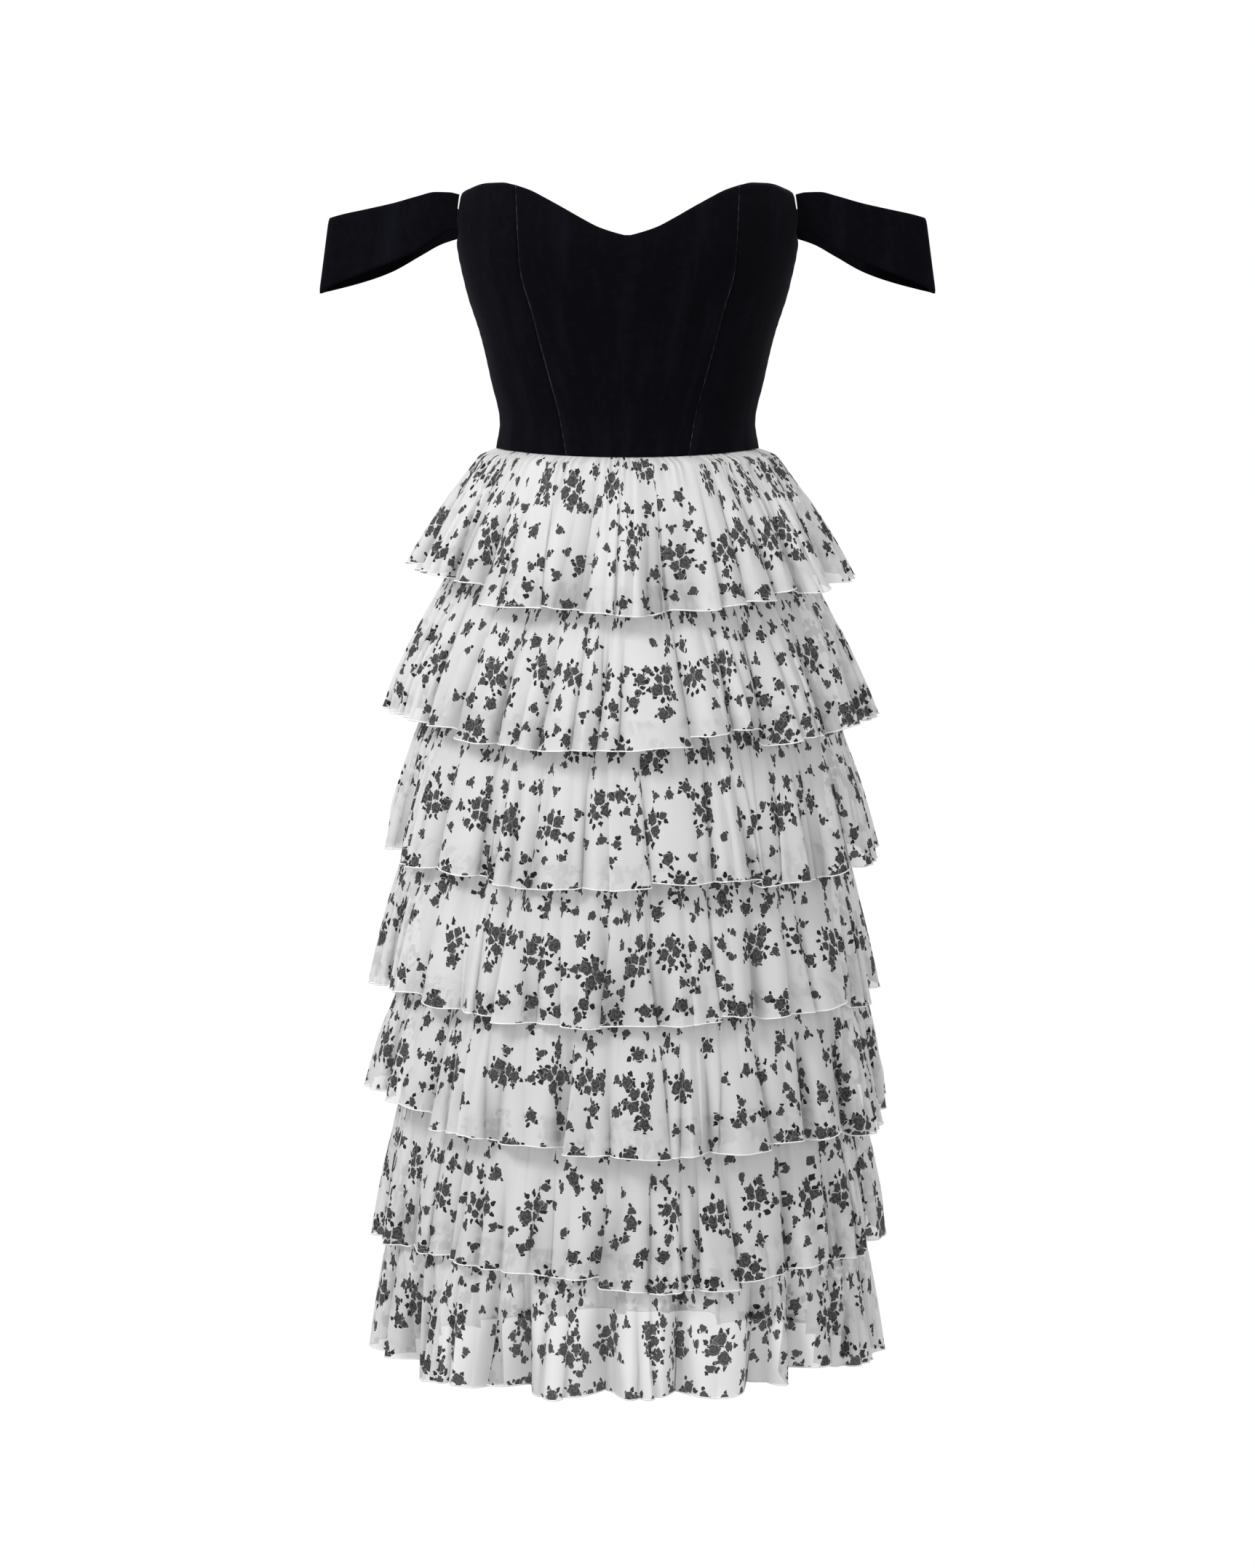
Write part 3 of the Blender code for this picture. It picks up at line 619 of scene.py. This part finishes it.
def chiffon_print(recipe, u, v):
    """The rose sprig print: the roses' ink, the leaves' darker ink and the roses' soft whorls."""
    drift = recipe.node("TexNoise", {"noise_dimensions": "3D"},
                        {"Vector": recipe.vector(u, v, 0.0), "Scale": 190.0, "Detail": 1.0, "Roughness": 0.6})
    parts = recipe.node("SeparateColor", None, {"Color": drift.outputs[1]})
    u = u + (Field(recipe, parts.outputs[0]) - 0.5) * print_raggedness
    v = v + (Field(recipe, parts.outputs[1]) - 0.5) * print_raggedness

    _, _, r, turn, wobble, chance = motif_place(recipe, u, v, CLUSTER)
    roses, whorl = blossoms(recipe, r, turn, wobble)
    blades = leaves(recipe, r, turn, wobble, CLUSTER)
    here = chance.below(CLUSTER.share)
    roses, blades = roses * here, blades * here * (1.0 - roses)

    x, y, r, turn, wobble, chance = motif_place(recipe, u, v, ROSE)
    rose, curl = bloom(x, y, ROSE.rose, wobble)
    sprig = leaves(recipe, r, turn, wobble, ROSE)
    here = chance.below(ROSE.share) * (1.0 - roses.most(blades))
    whorl = whorl * roses + curl * rose * (1.0 - roses)
    roses, blades = roses.most(rose * here), blades.most(sprig * here * (1.0 - rose))

    x, y, r, turn, wobble, chance = motif_place(recipe, u, v, BUD)
    bud = 1.0 - (r / BUD.rose).step(0.85, 1.05)
    sprig = leaves(recipe, r, turn, wobble, BUD)
    here = chance.below(BUD.share) * (1.0 - roses.most(blades))
    roses, blades = roses.most(bud * here), blades.most(sprig * here * (1.0 - bud))
    return roses, blades, whorl


def make_chiffon(name):
    """Sheer crepe chiffon with the charcoal print, more see-through between the flowers, with painted shade
    darkening its white in folds and gathers.
    """
    recipe = Recipe(name)
    u, v = recipe.cloth_place()
    roses, blades, whorl = chiffon_print(recipe, u, v)
    covered = roses.most(blades)
    mottle = recipe.noise(recipe.vector(u * 40.0, v * 900.0, 0.0), 1.0, 1.0)
    # The fold attribute is painted shade. It darkens the chiffon's white in recesses, fold valleys and the
    # gathers under the seams.
    fold = Field(recipe, recipe.node("Attribute", {"attribute_name": "fold"}).outputs["Fac"])
    white = (white_tone[0] + mottle * white_tone[1]) * (1.0 - fold * fold_shade)
    inked = leaf_ink + roses * rose_ink + whorl * whorl_ink
    tone = white + (inked - white) * covered
    thread = (u / 0.0011).wave() * (v / 0.0011).wave()
    bump = recipe.node("Bump", None, {"Strength": 0.12, "Distance": 0.0002, "Height": thread})
    cloth = recipe.node("BsdfPrincipled", None, {
        "Base Color": recipe.ink(tone), "Roughness": 0.75, "Specular IOR Level": 0.2,
        "Normal": bump.outputs[0]})
    glow = recipe.node("BsdfTranslucent", None, {"Color": (0.94, 0.94, 0.96, 1.0)})
    lit = recipe.node("MixShader", None, {
        0: glow_share * (1.0 - covered * 0.95), 1: cloth.outputs[0], 2: glow.outputs[0]})
    clear = recipe.node("BsdfTransparent", None, {"Color": (1.0, 1.0, 1.0, 1.0)})
    cover = (1.0 - sheerness) + covered * (sheerness - flower_sheerness)
    shown = recipe.node("MixShader", None, {0: cover, 1: clear.outputs[0], 2: lit.outputs[0]})
    return recipe.finish(shown)


def make_hem_material():
    recipe = Recipe("rolled_hem")
    place = recipe.object_place()
    stitch = recipe.noise(place, 420.0, 1.0)
    tone = stitch.step(0.40, 0.60) * 0.10 + 0.84
    cloth = recipe.node("BsdfPrincipled", None, {
        "Base Color": recipe.ink(tone), "Roughness": 0.8, "Sheen Weight": 0.2, "Specular IOR Level": 0.25})
    return recipe.finish(cloth)


def make_velvet():
    """Short pile velvet: near black with a blue cast, brushed lighter in soft upright bands."""
    recipe = Recipe("velvet_pile")
    u, v = recipe.cloth_place()
    place = recipe.object_place()
    brushed = recipe.noise(recipe.vector(u * 38.0, v * 6.0, 0.0), 1.0, 3.0, 0.55).step(0.45, 0.75)
    crushed = recipe.noise(place, 130.0, 3.0, 0.6).step(0.35, 0.8)
    pile = recipe.noise(place, 2600.0, 2.0, 0.7)
    level = 0.0008 + brushed * 0.0022 + crushed * 0.0009 + pile * 0.0008
    colour = recipe.node("CombineColor", None, {"Red": level, "Green": level, "Blue": level * 2.1}).outputs[0]
    height = pile * 0.7 + crushed * 0.6
    bump = recipe.node("Bump", None, {"Strength": 0.45, "Distance": 0.0007, "Height": height})
    cloth = recipe.node("BsdfPrincipled", None, {
        "Base Color": colour, "Roughness": 0.92, "Specular IOR Level": 0.08, "Sheen Weight": 0.034,
        "Sheen Roughness": 0.35, "Sheen Tint": (0.72, 0.75, 1.0, 1.0), "Normal": bump.outputs[0]})
    return recipe.finish(cloth)


def make_lining(name, tone, warmth):
    """A plain close-woven lining."""
    recipe = Recipe(name)
    u, v = recipe.cloth_place()
    weave = (u / 0.0007).wave() * (v / 0.0007).wave()
    mottle = recipe.noise(recipe.vector(u, v, 0.0), 260.0, 2.0)
    level = tone * (0.94 + mottle * 0.08 + weave * 0.015)
    colour = recipe.node("CombineColor", None, {
        "Red": level, "Green": level * (1.0 - warmth * 0.5), "Blue": level * (1.0 - warmth)}).outputs[0]
    bump = recipe.node("Bump", None, {"Strength": 0.2, "Distance": 0.0003, "Height": weave + mottle})
    cloth = recipe.node("BsdfPrincipled", None, {
        "Base Color": colour, "Roughness": 0.6, "Specular IOR Level": 0.3, "Sheen Weight": 0.1,
        "Normal": bump.outputs[0]})
    return recipe.finish(cloth)


def make_thread_and_painted_glints():
    recipe = Recipe("seam_thread_painted_glints")
    place = recipe.object_place()
    # The seam thread is dark. Its broken lighter bits are painted highlights, standing for pile edges at the
    # seams catching the light.
    painted_glint_bits = recipe.noise(place, 190.0, 2.0).step(0.40, 0.62)
    level = 0.003 + painted_glint_bits * 0.022
    thread = recipe.node("BsdfPrincipled", None, {
        "Base Color": recipe.ink(level), "Roughness": 0.7, "Sheen Weight": 0.1})
    return recipe.finish(thread)


def make_metal():
    """Black-plated metal, with faint brushing and lighter worn edges."""
    recipe = Recipe("black_plated_metal")
    place = recipe.object_place()
    grain = recipe.noise(place, 4000.0, 2.0)
    worn = recipe.noise(place, 700.0, 3.0).step(0.55, 0.8)
    metal = recipe.node("BsdfPrincipled", None, {
        "Base Color": recipe.ink(0.018 + worn * 0.06), "Metallic": 1.0,
        "Roughness": 0.28 + grain * 0.15,
        "Normal": recipe.node("Bump", None, {
            "Strength": 0.1, "Distance": 0.0001, "Height": grain}).outputs[0]})
    return recipe.finish(metal)


# The bodice

def body_point(angle, level, inset):
    half, front, back, power = (curve(level) for curve in SECTION_CURVES)
    turn = np.radians(angle)
    across, along = np.sin(turn), np.cos(turn)
    depth = np.where(along > 0, front, back)
    return np.stack((
        (half - inset) * signed_power(across, 2 / power),
        -(depth - inset) * signed_power(along, 2 / power),
        level + 0 * half,
    ), -1)


def angle_across(distance, level, at_back):
    half, power = SECTION_CURVES[0](level), SECTION_CURVES[3](level)
    turn = np.degrees(np.arcsin(np.minimum(1.0, distance / half) ** (power / 2)))
    return 180.0 - turn if at_back else turn


def half_width_at(distance, level):
    half, front, back, power = (curve(level) for curve in SECTION_CURVES)
    along = np.minimum(1.0, abs(distance) / (front if distance < 0 else back)) ** (power / 2)
    return half * np.sqrt(1 - along * along) ** (2 / power)


def waist_level(angle):
    along = np.cos(np.radians(angle))
    return np.where(along > 0, waist_front, waist_back) * np.abs(along) ** dip_power


def seam_angles(level):
    return (
        angle_across(front_seam(level), level, False),
        side_seam_angle + 0 * level,
        angle_across(back_seam(level), level, True),
        180.0 + 0 * level,
    )


def panel_surface(between, columns, side):
    """The outer face of a panel: sunk a little at its seams, rolled over at its top edge."""
    gap = math.degrees(seam_gap / 2 / seam_gap_half_width)
    share = np.linspace(1, 0, panel_rows)[:, None]
    column = np.linspace(0, 1, columns)[None, :]
    level = SECTIONS[-1][0] * share + 0 * column
    for _ in range(12):
        first, last = between(level)
        angle = first + gap + (last - first - 2 * gap) * column
        low, high = waist_level(angle), top_edge(np.abs(angle))
        level = low + (high - low) * share
    ring = np.radians(1.0) * np.hypot(SECTION_CURVES[0](level) * np.cos(np.radians(angle)),
                                      SECTION_CURVES[1](level) * np.sin(np.radians(angle)))
    from_seam = np.minimum(angle - first, last - angle) * ring
    inset = hump(from_seam, seam_sink)
    pucker = np.sin(level * 2 * np.pi / 0.011 + 2.2 * np.sin(level * 61.0))
    inset += pucker * hump(from_seam, seam_pucker)
    inset += hump(high - level, top_roll)
    soft = np.sin(angle * 0.21 + level * 37.0) * np.sin(level * 52.0 - angle * 0.13)
    inset += panel_ripple * soft
    points = body_point(angle, level, inset)
    points[..., 0] *= side
    return points if side > 0 else points[:, ::-1]


def add_panel(name, points, velvet, lining=None):
    across, down = lengths_along(points, False), lengths_down(points)
    across = across[len(across) // 2][None, :] + 0 * across
    materials = (velvet, lining) if lining else (velvet,)
    piece = add_cloth(name + "_velvet", points, False, materials, across, down)
    thicken(piece, velvet_wall, lining is not None)
    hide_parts(name)
    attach(piece, "dress")
    width = float(lengths_along(points, False)[:, -1].max())
    length = float(lengths_down(points)[-1].max())
    area = float(grid_area(points))
    return piece, width, length, area


def grid_area(points):
    a = points[1:, :-1] - points[:-1, :-1]
    b = points[:-1, 1:] - points[:-1, :-1]
    c = points[1:, :-1] - points[1:, 1:]
    d = points[:-1, 1:] - points[1:, 1:]
    return (np.linalg.norm(np.cross(a, b), axis=2) + np.linalg.norm(np.cross(c, d), axis=2)).sum() / 2


def make_bodice(velvet, lining, thread):
    panels = {"front_centre": (lambda z: (-seam_angles(z)[0], seam_angles(z)[0]), panel_columns * 2, 1)}
    for side_name, side in (("left", 1), ("right", -1)):
        for panel, seam in (("side_front", 0), ("side_back", 1), ("back", 2)):
            panels[f"{panel}_{side_name}"] = (
                lambda z, k=seam: seam_angles(z)[k:k + 2], panel_columns, side)
    for name, (between, columns, side) in panels.items():
        points = panel_surface(between, columns, side)
        piece, width, length, area = add_panel(name, points, velvet, lining)
    for side_name, side in (("left", 1), ("right", -1)):
        for seam, label in ((0, "front"), (1, "side"), (2, "back")):
            level = np.linspace(0.245, -0.008, thread_points)
            for _ in range(4):
                angle = seam_angles(level)[seam]
                high, low = top_edge(angle), waist_level(angle)
                level = np.linspace(0, 1, thread_points) * (low - high) + high
            path = body_point(angle, level, thread_inset)
            path[:, 0] *= side
            # The tube is dark seam thread with painted highlights along it.
            tube = add_tube(f"seam_{label}_{side_name}", path, thread_radius, False, 6, thread)
            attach(tube, "dress")


def sleeve_surface(side):
    """The outer face of a sleeve band, with soft drag folds from its joints."""
    share = np.linspace(0, 1, sleeve_rows)
    joint = SLEEVE[0][0]
    fold = max(row[0] for row in SLEEVE)
    stations = []
    for k, (x, y, top, low) in enumerate(SLEEVE):
        level = top + (low - top) * share
        if k in (0, len(SLEEVE) - 1):
            out = half_width_at(y - math.copysign(velvet_wall, y), level) + joint_gap
        else:
            out = x + sleeve_lean * share * (x - joint) / (fold - joint)
        stations.append(np.stack((out, y + 0 * share, level), -1))
    stations = np.stack(stations, 1)
    steps = np.linalg.norm(np.diff(stations[0], axis=0), axis=1)
    place = np.concatenate(((0,), np.cumsum(steps)))
    at = np.linspace(0, place[-1], sleeve_columns)
    points = np.empty((sleeve_rows, sleeve_columns, 3))
    for row in range(sleeve_rows):
        for axis in range(3):
            points[row, :, axis] = Curve(list(zip(place, stations[row, :, axis])))(at)
    s = at[None, :] / place[-1]
    t = share[:, None]
    folds = np.zeros_like(points[..., 0])
    for k in range(sleeve_folds):
        centre = spread(sleeve_fold_place, k, 2)
        slope = sleeve_fold_slope * uneven(k, 5)
        wide = spread(sleeve_fold_width, k, 8)
        folds += hump(s - centre - slope * (t - 0.5), (sleeve_fold_depth * uneven(k, 11), wide))
    ends = np.minimum(1.0, np.minimum(s, 1 - s) / 0.06)
    edge = np.minimum(t, 1 - t) * 0.06
    folds = (folds - hump(edge, (0.0008, 0.0022))) * ends
    points += grid_normals(points, False) * folds[..., None]
    points[..., 0] *= side
    return points if side > 0 else points[:, ::-1]


def make_sleeves(velvet):
    for side_name, side in (("left", 1), ("right", -1)):
        points = sleeve_surface(side)
        name = f"sleeve_{side_name}"
        piece, width, length, area = add_panel(name, points, velvet)


# The skirt

def depth_ratio(level, along):
    waist = np.where(along > 0, waist_depth_ratios[0], waist_depth_ratios[1])
    upper = waist + (hip_depth_ratio - waist) * level / hip_level
    below = np.clip((level - hip_level) / (knee_level - hip_level), 0, 1)
    lower = hip_depth_ratio + (hem_depth_ratio - hip_depth_ratio) * below
    return np.where(level > hip_level, upper, lower)


def ring_level(levels, angle):
    along = np.cos(np.radians(angle))
    centre = np.where(along > 0, levels.front, levels.back)
    return levels.side + (centre - levels.side) * np.abs(along) ** dip_power


def ring_point(half, level, angle, inset=0.0, shift=0.0):
    turn = np.radians(angle)
    across, along = np.sin(turn), np.cos(turn)
    depth = half * depth_ratio(level, along)
    out_x, out_y = across / half, -along / depth
    size = np.hypot(out_x, out_y)
    out_x, out_y = out_x / size, out_y / size
    x = half * across - out_x * inset - out_y * shift
    y = -depth * along - out_y * inset + out_x * shift
    return np.stack((x, y, level + 0 * x), -1)


def ring_speed(half, angle):
    turn = np.radians(angle)
    return np.radians(half * np.hypot(np.cos(turn), hem_depth_ratio * np.sin(turn)))


def creases_of(name):
    shown = [Crease(*row) for row in CREASES[name]]
    start, span = shown[-1].angle, 360 - (shown[-1].angle - shown[0].angle)
    seed = int(name[-1])
    count = round(span * float(ring_speed(TIERS[name].hem_half, hidden_angle)) / flute_spacing)
    hidden = []
    for i in range(1, count):
        place, width, depth, lap, drop = (
            spread(pair, i, seed + turn) for pair, turn in zip(HIDDEN_CREASES, (0, 3, 5, 7, 9)))
        hidden.append(Crease(start + span * (i + place) / count, width, depth, round(lap), drop))
    return shown + hidden


def turn_between(angle, other):
    """How far one angle is past another, from -180 to 180."""
    return (angle - other + 180) % 360 - 180


def flute_drops(tier, creases, angles):
    """How far the hem hangs below its level at each angle, in metres."""
    drops = np.zeros(len(angles))
    for i, crease in enumerate(creases):
        before, after = creases[i - 1], creases[(i + 1) % len(creases)]
        past = (angles - crease.angle) % 360
        mine = past < (after.angle - crease.angle) % 360
        t = past * ring_speed(tier.hem_half, crease.angle) / (crease.width / 1000)
        rest = ((after.angle - angles) % 360) * ring_speed(tier.hem_half, angles) / (after.width / 1000)
        early = before.drop + (crease.drop - before.drop) * (0.5 + 0.5 * ease(t / drop_blend))
        late = crease.drop + (after.drop - crease.drop) * (0.5 - 0.5 * ease(rest / drop_blend))
        drops = np.where(mine, np.where(t < rest, early, late), drops)
    return drops / 1000


def tier_seam_level(tier, angle):
    if tier.seam is None:
        return waist_level(angle) - seam_gap
    return ring_level(tier.seam, angle)


def tier_half(tier, share, shoulder):
    seam = tier.seam_half if tier.seam is None else tier.seam_half + tier_stand_off
    upper = seam + (tier.shoulder_half - seam) * np.sin(np.pi / 2 * np.minimum(1, share / shoulder))
    t = np.clip((share - shoulder) / (1 - shoulder), 0, 1)
    lower = tier.shoulder_half + (tier.hem_half - tier.shoulder_half) * (t + hem_swell * t * (1 - t))
    return np.where(share < shoulder, upper, lower)


def lay_flutes(inset, shift, tier, creases, seed, angle, share):
    """The flutes and laps of the part, with each flute's face rounding away to its creases."""
    for i, crease in enumerate(creases):
        after = creases[(i + 1) % len(creases)]
        begin = spread(flute_start, i, seed + 21)
        fall = np.maximum(0, (share - begin) / (1 - begin)) ** fall_power
        away = turn_between(angle, crease.angle + spread(flute_lean, i, seed + 25) * (1 - share) ** 1.5)
        width = crease.width / 1000 * (flute_widening[0] + flute_widening[1] * share)
        t = away * ring_speed(tier.hem_half, crease.angle) / width
        bell = np.exp(-t * t)
        inset += (crease.depth * tier.flute_depth - crease.lap * lap_height * t) * bell * fall
        shift -= pinch * width * t * bell * fall
        if crease.lap:
            over = np.exp(-((t - lap_place * crease.lap) / lap_width) ** 2)
            under = np.exp(-(t / tuck_width) ** 2)
            shift += crease.lap * width * (tuck_pull * under - lap_pull * over) * fall
            inset -= lap_rise * over * fall
        gap = (after.angle - crease.angle) % 360
        wide = gap * float(ring_speed(tier.hem_half, crease.angle + gap / 2))
        middle = turn_between(angle, crease.angle + gap / 2) / (gap / 2)
        crown = min(crown_most, crown_share * wide) * np.clip(np.abs(middle), 0, 1) ** crown_power
        inset += np.where(np.abs(middle) < 1, crown, 0) * fall


def lay_folds(inset, shift, seed, angle, share):
    """Broad folds with round faces and sharp valleys. Returns how strongly each valley is shaded."""
    place = angle / 360 * fold_count + wave_round(angle, fold_drift[0], seed) \
        + wave_round(angle, fold_drift[1], seed) + wave_round(angle, fold_wander, seed) * (share - 0.5)
    nearest = np.round(place)
    number = nearest % fold_count
    valley = 1 - np.abs(np.sin(np.pi * (place - nearest)))
    tall = spread(fold_depth, number, seed + 55)
    begin = spread(fold_start, number, seed + 57)
    grown = ease((share - begin) / (1 - begin)) ** fold_growth
    inset += tall * valley * grown - fold_outward * grown
    shift += spread(fold_swing, number, seed + 59) * valley ** 2 * grown
    return valley ** fold_shade_power * grown * tall / sum(fold_depth)


def lay_creases(inset, shift, tier, seed, angle, share):
    """Short sharp creases that run down from the seam or up from the hem."""
    for k in range(crease_count):
        centre = -180 + 360 * ((k * 0.618034 + seed * 0.213) % 1.0)
        wide = spread(crease_width, k, seed + 33)
        tall = spread(crease_depth, k, seed + 35)
        reach = spread(crease_reach, k, seed + 39)
        if uneven(k, seed + 37) > -0.1:
            window = 1 - ease((share - reach * 0.4) / (reach * 0.6))
        else:
            window = ease((share - 1 + reach) / reach)
        window = window * ease(share / 0.12)
        away = turn_between(angle, centre + spread(crease_lean, k, seed + 31) * (share - 0.5))
        t = away * ring_speed(tier.hem_half, centre) / wide
        inset += tall * np.exp(-np.abs(t) ** crease_sharpness) * window
        shift -= crease_tuck * wide * t * np.exp(-t * t) * window


def lay_gathers(inset, gathers, seed, angle, down):
    """Fine gathers under the seam. Returns how strongly they are shaded."""
    phase = angle / 360 * gathers + wave_round(angle, gather_drift[0], seed) \
        + wave_round(angle, gather_drift[1], seed)
    number = np.floor(phase) % gathers
    reach = gather_reach[0] + gather_reach[1] * (0.5 + 0.5 * uneven(number, seed + 41)) ** 2
    ripple = 0.5 - 0.5 * np.cos(2 * np.pi * phase)
    fade = np.exp(-(down / reach) ** 1.3) * ease(down / 0.002 + 0.35)
    threes = 2 * np.pi * phase * round(gathers / 3) / gathers
    soft = np.exp(-(down / soft_gather_reach) ** 1.5) * soft_gather_depth * (1 - np.cos(threes + seed))
    inset += spread(gather_depth, number, seed + 43) * ripple * fade + soft * ease(down / 0.006)
    return ripple * fade


def tier_surface(name):
    """A tier's face, its length from seam to hem at each angle, and how much painted shade each point gets
    from its folds and gathers.
    """
    tier, creases, seed = TIERS[name], creases_of(name), int(name[-1])
    angle = (-180 + 360 * np.arange(tier_columns) / tier_columns)[None, :]
    share = (np.linspace(0, 1, tier_rows) ** 1.1)[:, None]
    seam = tier_seam_level(tier, angle)
    drop = flute_drops(tier, creases, angle[0])[None, :]
    length = seam - (ring_level(tier.hem, angle) - drop)
    half = tier_half(tier, share, tier.shoulder_drop / length)
    inset = np.zeros((tier_rows, tier_columns))
    shift = np.zeros_like(inset)
    lay_flutes(inset, shift, tier, creases, seed, angle, share)
    valley_shade = lay_folds(inset, shift, seed, angle, share)
    lay_creases(inset, shift, tier, seed, angle, share)
    gathers = waist_gathers if tier.seam is None else seam_gathers
    gather_shade = lay_gathers(inset, gathers, seed, angle, share * length)

    later = [each for each in TIERS if each > name]
    room = tier.hem_half - TIERS[later[0]].shoulder_half - clear_of_next_tier if later else 1.0
    deepest = min(tier.flute_depth + deeper_than_flutes, room)
    most = np.where(inset > 0, deepest, outward_most)
    inset = most * np.tanh(inset / most)
    # fold is painted shade for the chiffon's colour: darker in deep recesses, fold valleys and the gathers
    # under the seam.
    fold = 0.75 * ease((inset - 0.003) / 0.011) * (0.35 + 0.65 * ease(share / 0.4)) \
        + 0.70 * valley_shade + 0.75 * gather_shade
    level = seam - (length + wave_round(angle, hem_wave, seed) * share ** 3) * share
    points = ring_point(half, level, angle, inset, shift)
    points[..., 0] += tier.off_centre * np.minimum(1.0, share / (tier.shoulder_drop / length))
    return points, length, np.clip(fold, 0, 1)


def make_tiers(chiffon, hem_material):
    for name in TIERS:
        points, length, fold = tier_surface(name)
        hem_lengths = lengths_along(points[-1:], True)[0]
        number = int(name[-1])
        across = np.tile(hem_lengths, (tier_rows, 1)) + print_step[0] * number
        down = lengths_down(points) + print_step[1] * number
        piece = add_cloth(name + "_cloth", points, True, (chiffon,), across, down)
        # The fold attribute carries the painted fold shade to the chiffon.
        fold_shade_layer = piece.data.attributes.new("fold", "FLOAT", "POINT")
        fold_shade_layer.data.foreach_set("value", fold.astype(np.float32).ravel())
        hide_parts(name)
        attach(piece, "dress")
        edge = points[-1] + np.array((0.0, 0.0, hem_lift))
        hem = add_tube(name + "_hem", edge, hem_radius, True, 6, hem_material)
        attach(hem, "dress")


def make_underskirt(lining):
    """The plain underskirt, with soft upright folds between the tiers' seams."""
    angle = (-180 + 360 * np.arange(underskirt_columns) / underskirt_columns)[None, :]
    waist_half = TIERS["tier_1"].seam_half - chiffon_wall - seam_gap - underskirt_inset
    rings = [(waist_half, waist_level(angle) - underskirt_start)]
    for tier in TIERS.values():
        if tier.seam is not None:
            rings.append((tier.seam_half, ring_level(tier.seam, angle)))
    last = TIERS["tier_7"]
    rings.append((last.seam_half + underskirt_flare, ring_level(last.seam, angle) - underskirt_end))
    rows = []
    for band in range(len(rings) - 1):
        (half_a, level_a), (half_b, level_b) = rings[band], rings[band + 1]
        for k in range(underskirt_band_rows + (band == len(rings) - 2)):
            t = k / underskirt_band_rows
            sag = np.sin(np.pi * t)
            fold = underskirt_fold * sag * (0.5 + 0.5 * np.sin(np.radians(angle * 19 + 50 * band)))
            rows.append(ring_point(half_a + (half_b - half_a) * t, level_a + (level_b - level_a) * t,
                                   angle, fold)[0])
    points = np.stack(rows)
    across = np.broadcast_to(lengths_along(points[-1:], True)[0][None, :],
                             (len(points), underskirt_columns + 1))
    down = lengths_down(points)
    piece = add_cloth("underskirt_cloth", points, True, (lining,), across, down)
    thicken(piece, underskirt_wall, False)
    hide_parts("underskirt")
    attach(piece, "dress")
    float(grid_area(points))


def main():
    velvet = make_velvet()
    inside = make_lining("bodice_lining", 0.30, 0.06)
    white = make_lining("underskirt_lining", 0.82, 0.0)
    chiffon = make_chiffon("printed_chiffon_cloth")
    hem_material = make_hem_material()
    thread = make_thread_and_painted_glints()
    metal = make_metal()

    make_underskirt(white)
    make_bodice(velvet, inside, thread)
    make_sleeves(velvet)
    make_tiers(chiffon, hem_material)

    for name in ("zip_slider", "zip_pull"):
        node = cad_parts[name]
        node.data.materials.clear()
        node.data.materials.append(metal)

    make_stage()


def make_stage():
    floor_recipe = Recipe("pale_floor")
    seen = Field(floor_recipe, floor_recipe.node("LightPath").outputs["Is Camera Ray"])
    shine = floor_recipe.node("Emission", None, {
        "Color": (1.0, 1.0, 1.0, 1.0), "Strength": seen * (1.0 - floor_share) + floor_share})
    bpy.ops.object.select_all(action="DESELECT")
    bpy.ops.mesh.primitive_plane_add(size=floor_size, location=(0.0, 0.0, floor_level))
    floor = bpy.context.object
    floor.name = "floor"
    floor.data.materials.append(floor_recipe.finish(shine))

    world = bpy.data.worlds.new("studio")
    world.use_nodes = True
    background = world.node_tree.nodes["Background"]
    background.inputs["Color"].default_value = (1.0, 1.0, 1.0, 1.0)
    paths = world.node_tree.nodes.new("ShaderNodeLightPath")
    strength = world.node_tree.nodes.new("ShaderNodeMapRange")
    strength.inputs["To Min"].default_value = surround
    world.node_tree.links.new(paths.outputs["Is Camera Ray"], strength.inputs["Value"])
    world.node_tree.links.new(strength.outputs[0], background.inputs["Strength"])
    bpy.context.scene.world = world

    for name, place, turn, power, size in LIGHTS:
        light = bpy.data.lights.new(name, "AREA")
        light.energy = power
        light.size = size
        lamp = bpy.data.objects.new(name, light)
        lamp.location = place
        lamp.rotation_euler = tuple(math.radians(each) for each in turn)
        bpy.context.scene.collection.objects.link(lamp)

    lens = bpy.data.cameras.new("camera")
    lens.lens = camera_lens
    lens.sensor_width = camera_film
    lens.shift_y = camera_shift
    camera = bpy.data.objects.new("camera", lens)
    camera.location = camera_place
    camera.rotation_euler = (math.radians(90 - camera_tilt), 0.0, 0.0)
    bpy.context.scene.collection.objects.link(camera)
    bpy.context.scene.camera = camera
    bpy.context.scene.view_settings.view_transform = "Standard"
    bpy.context.scene.view_settings.look = "None"


main()
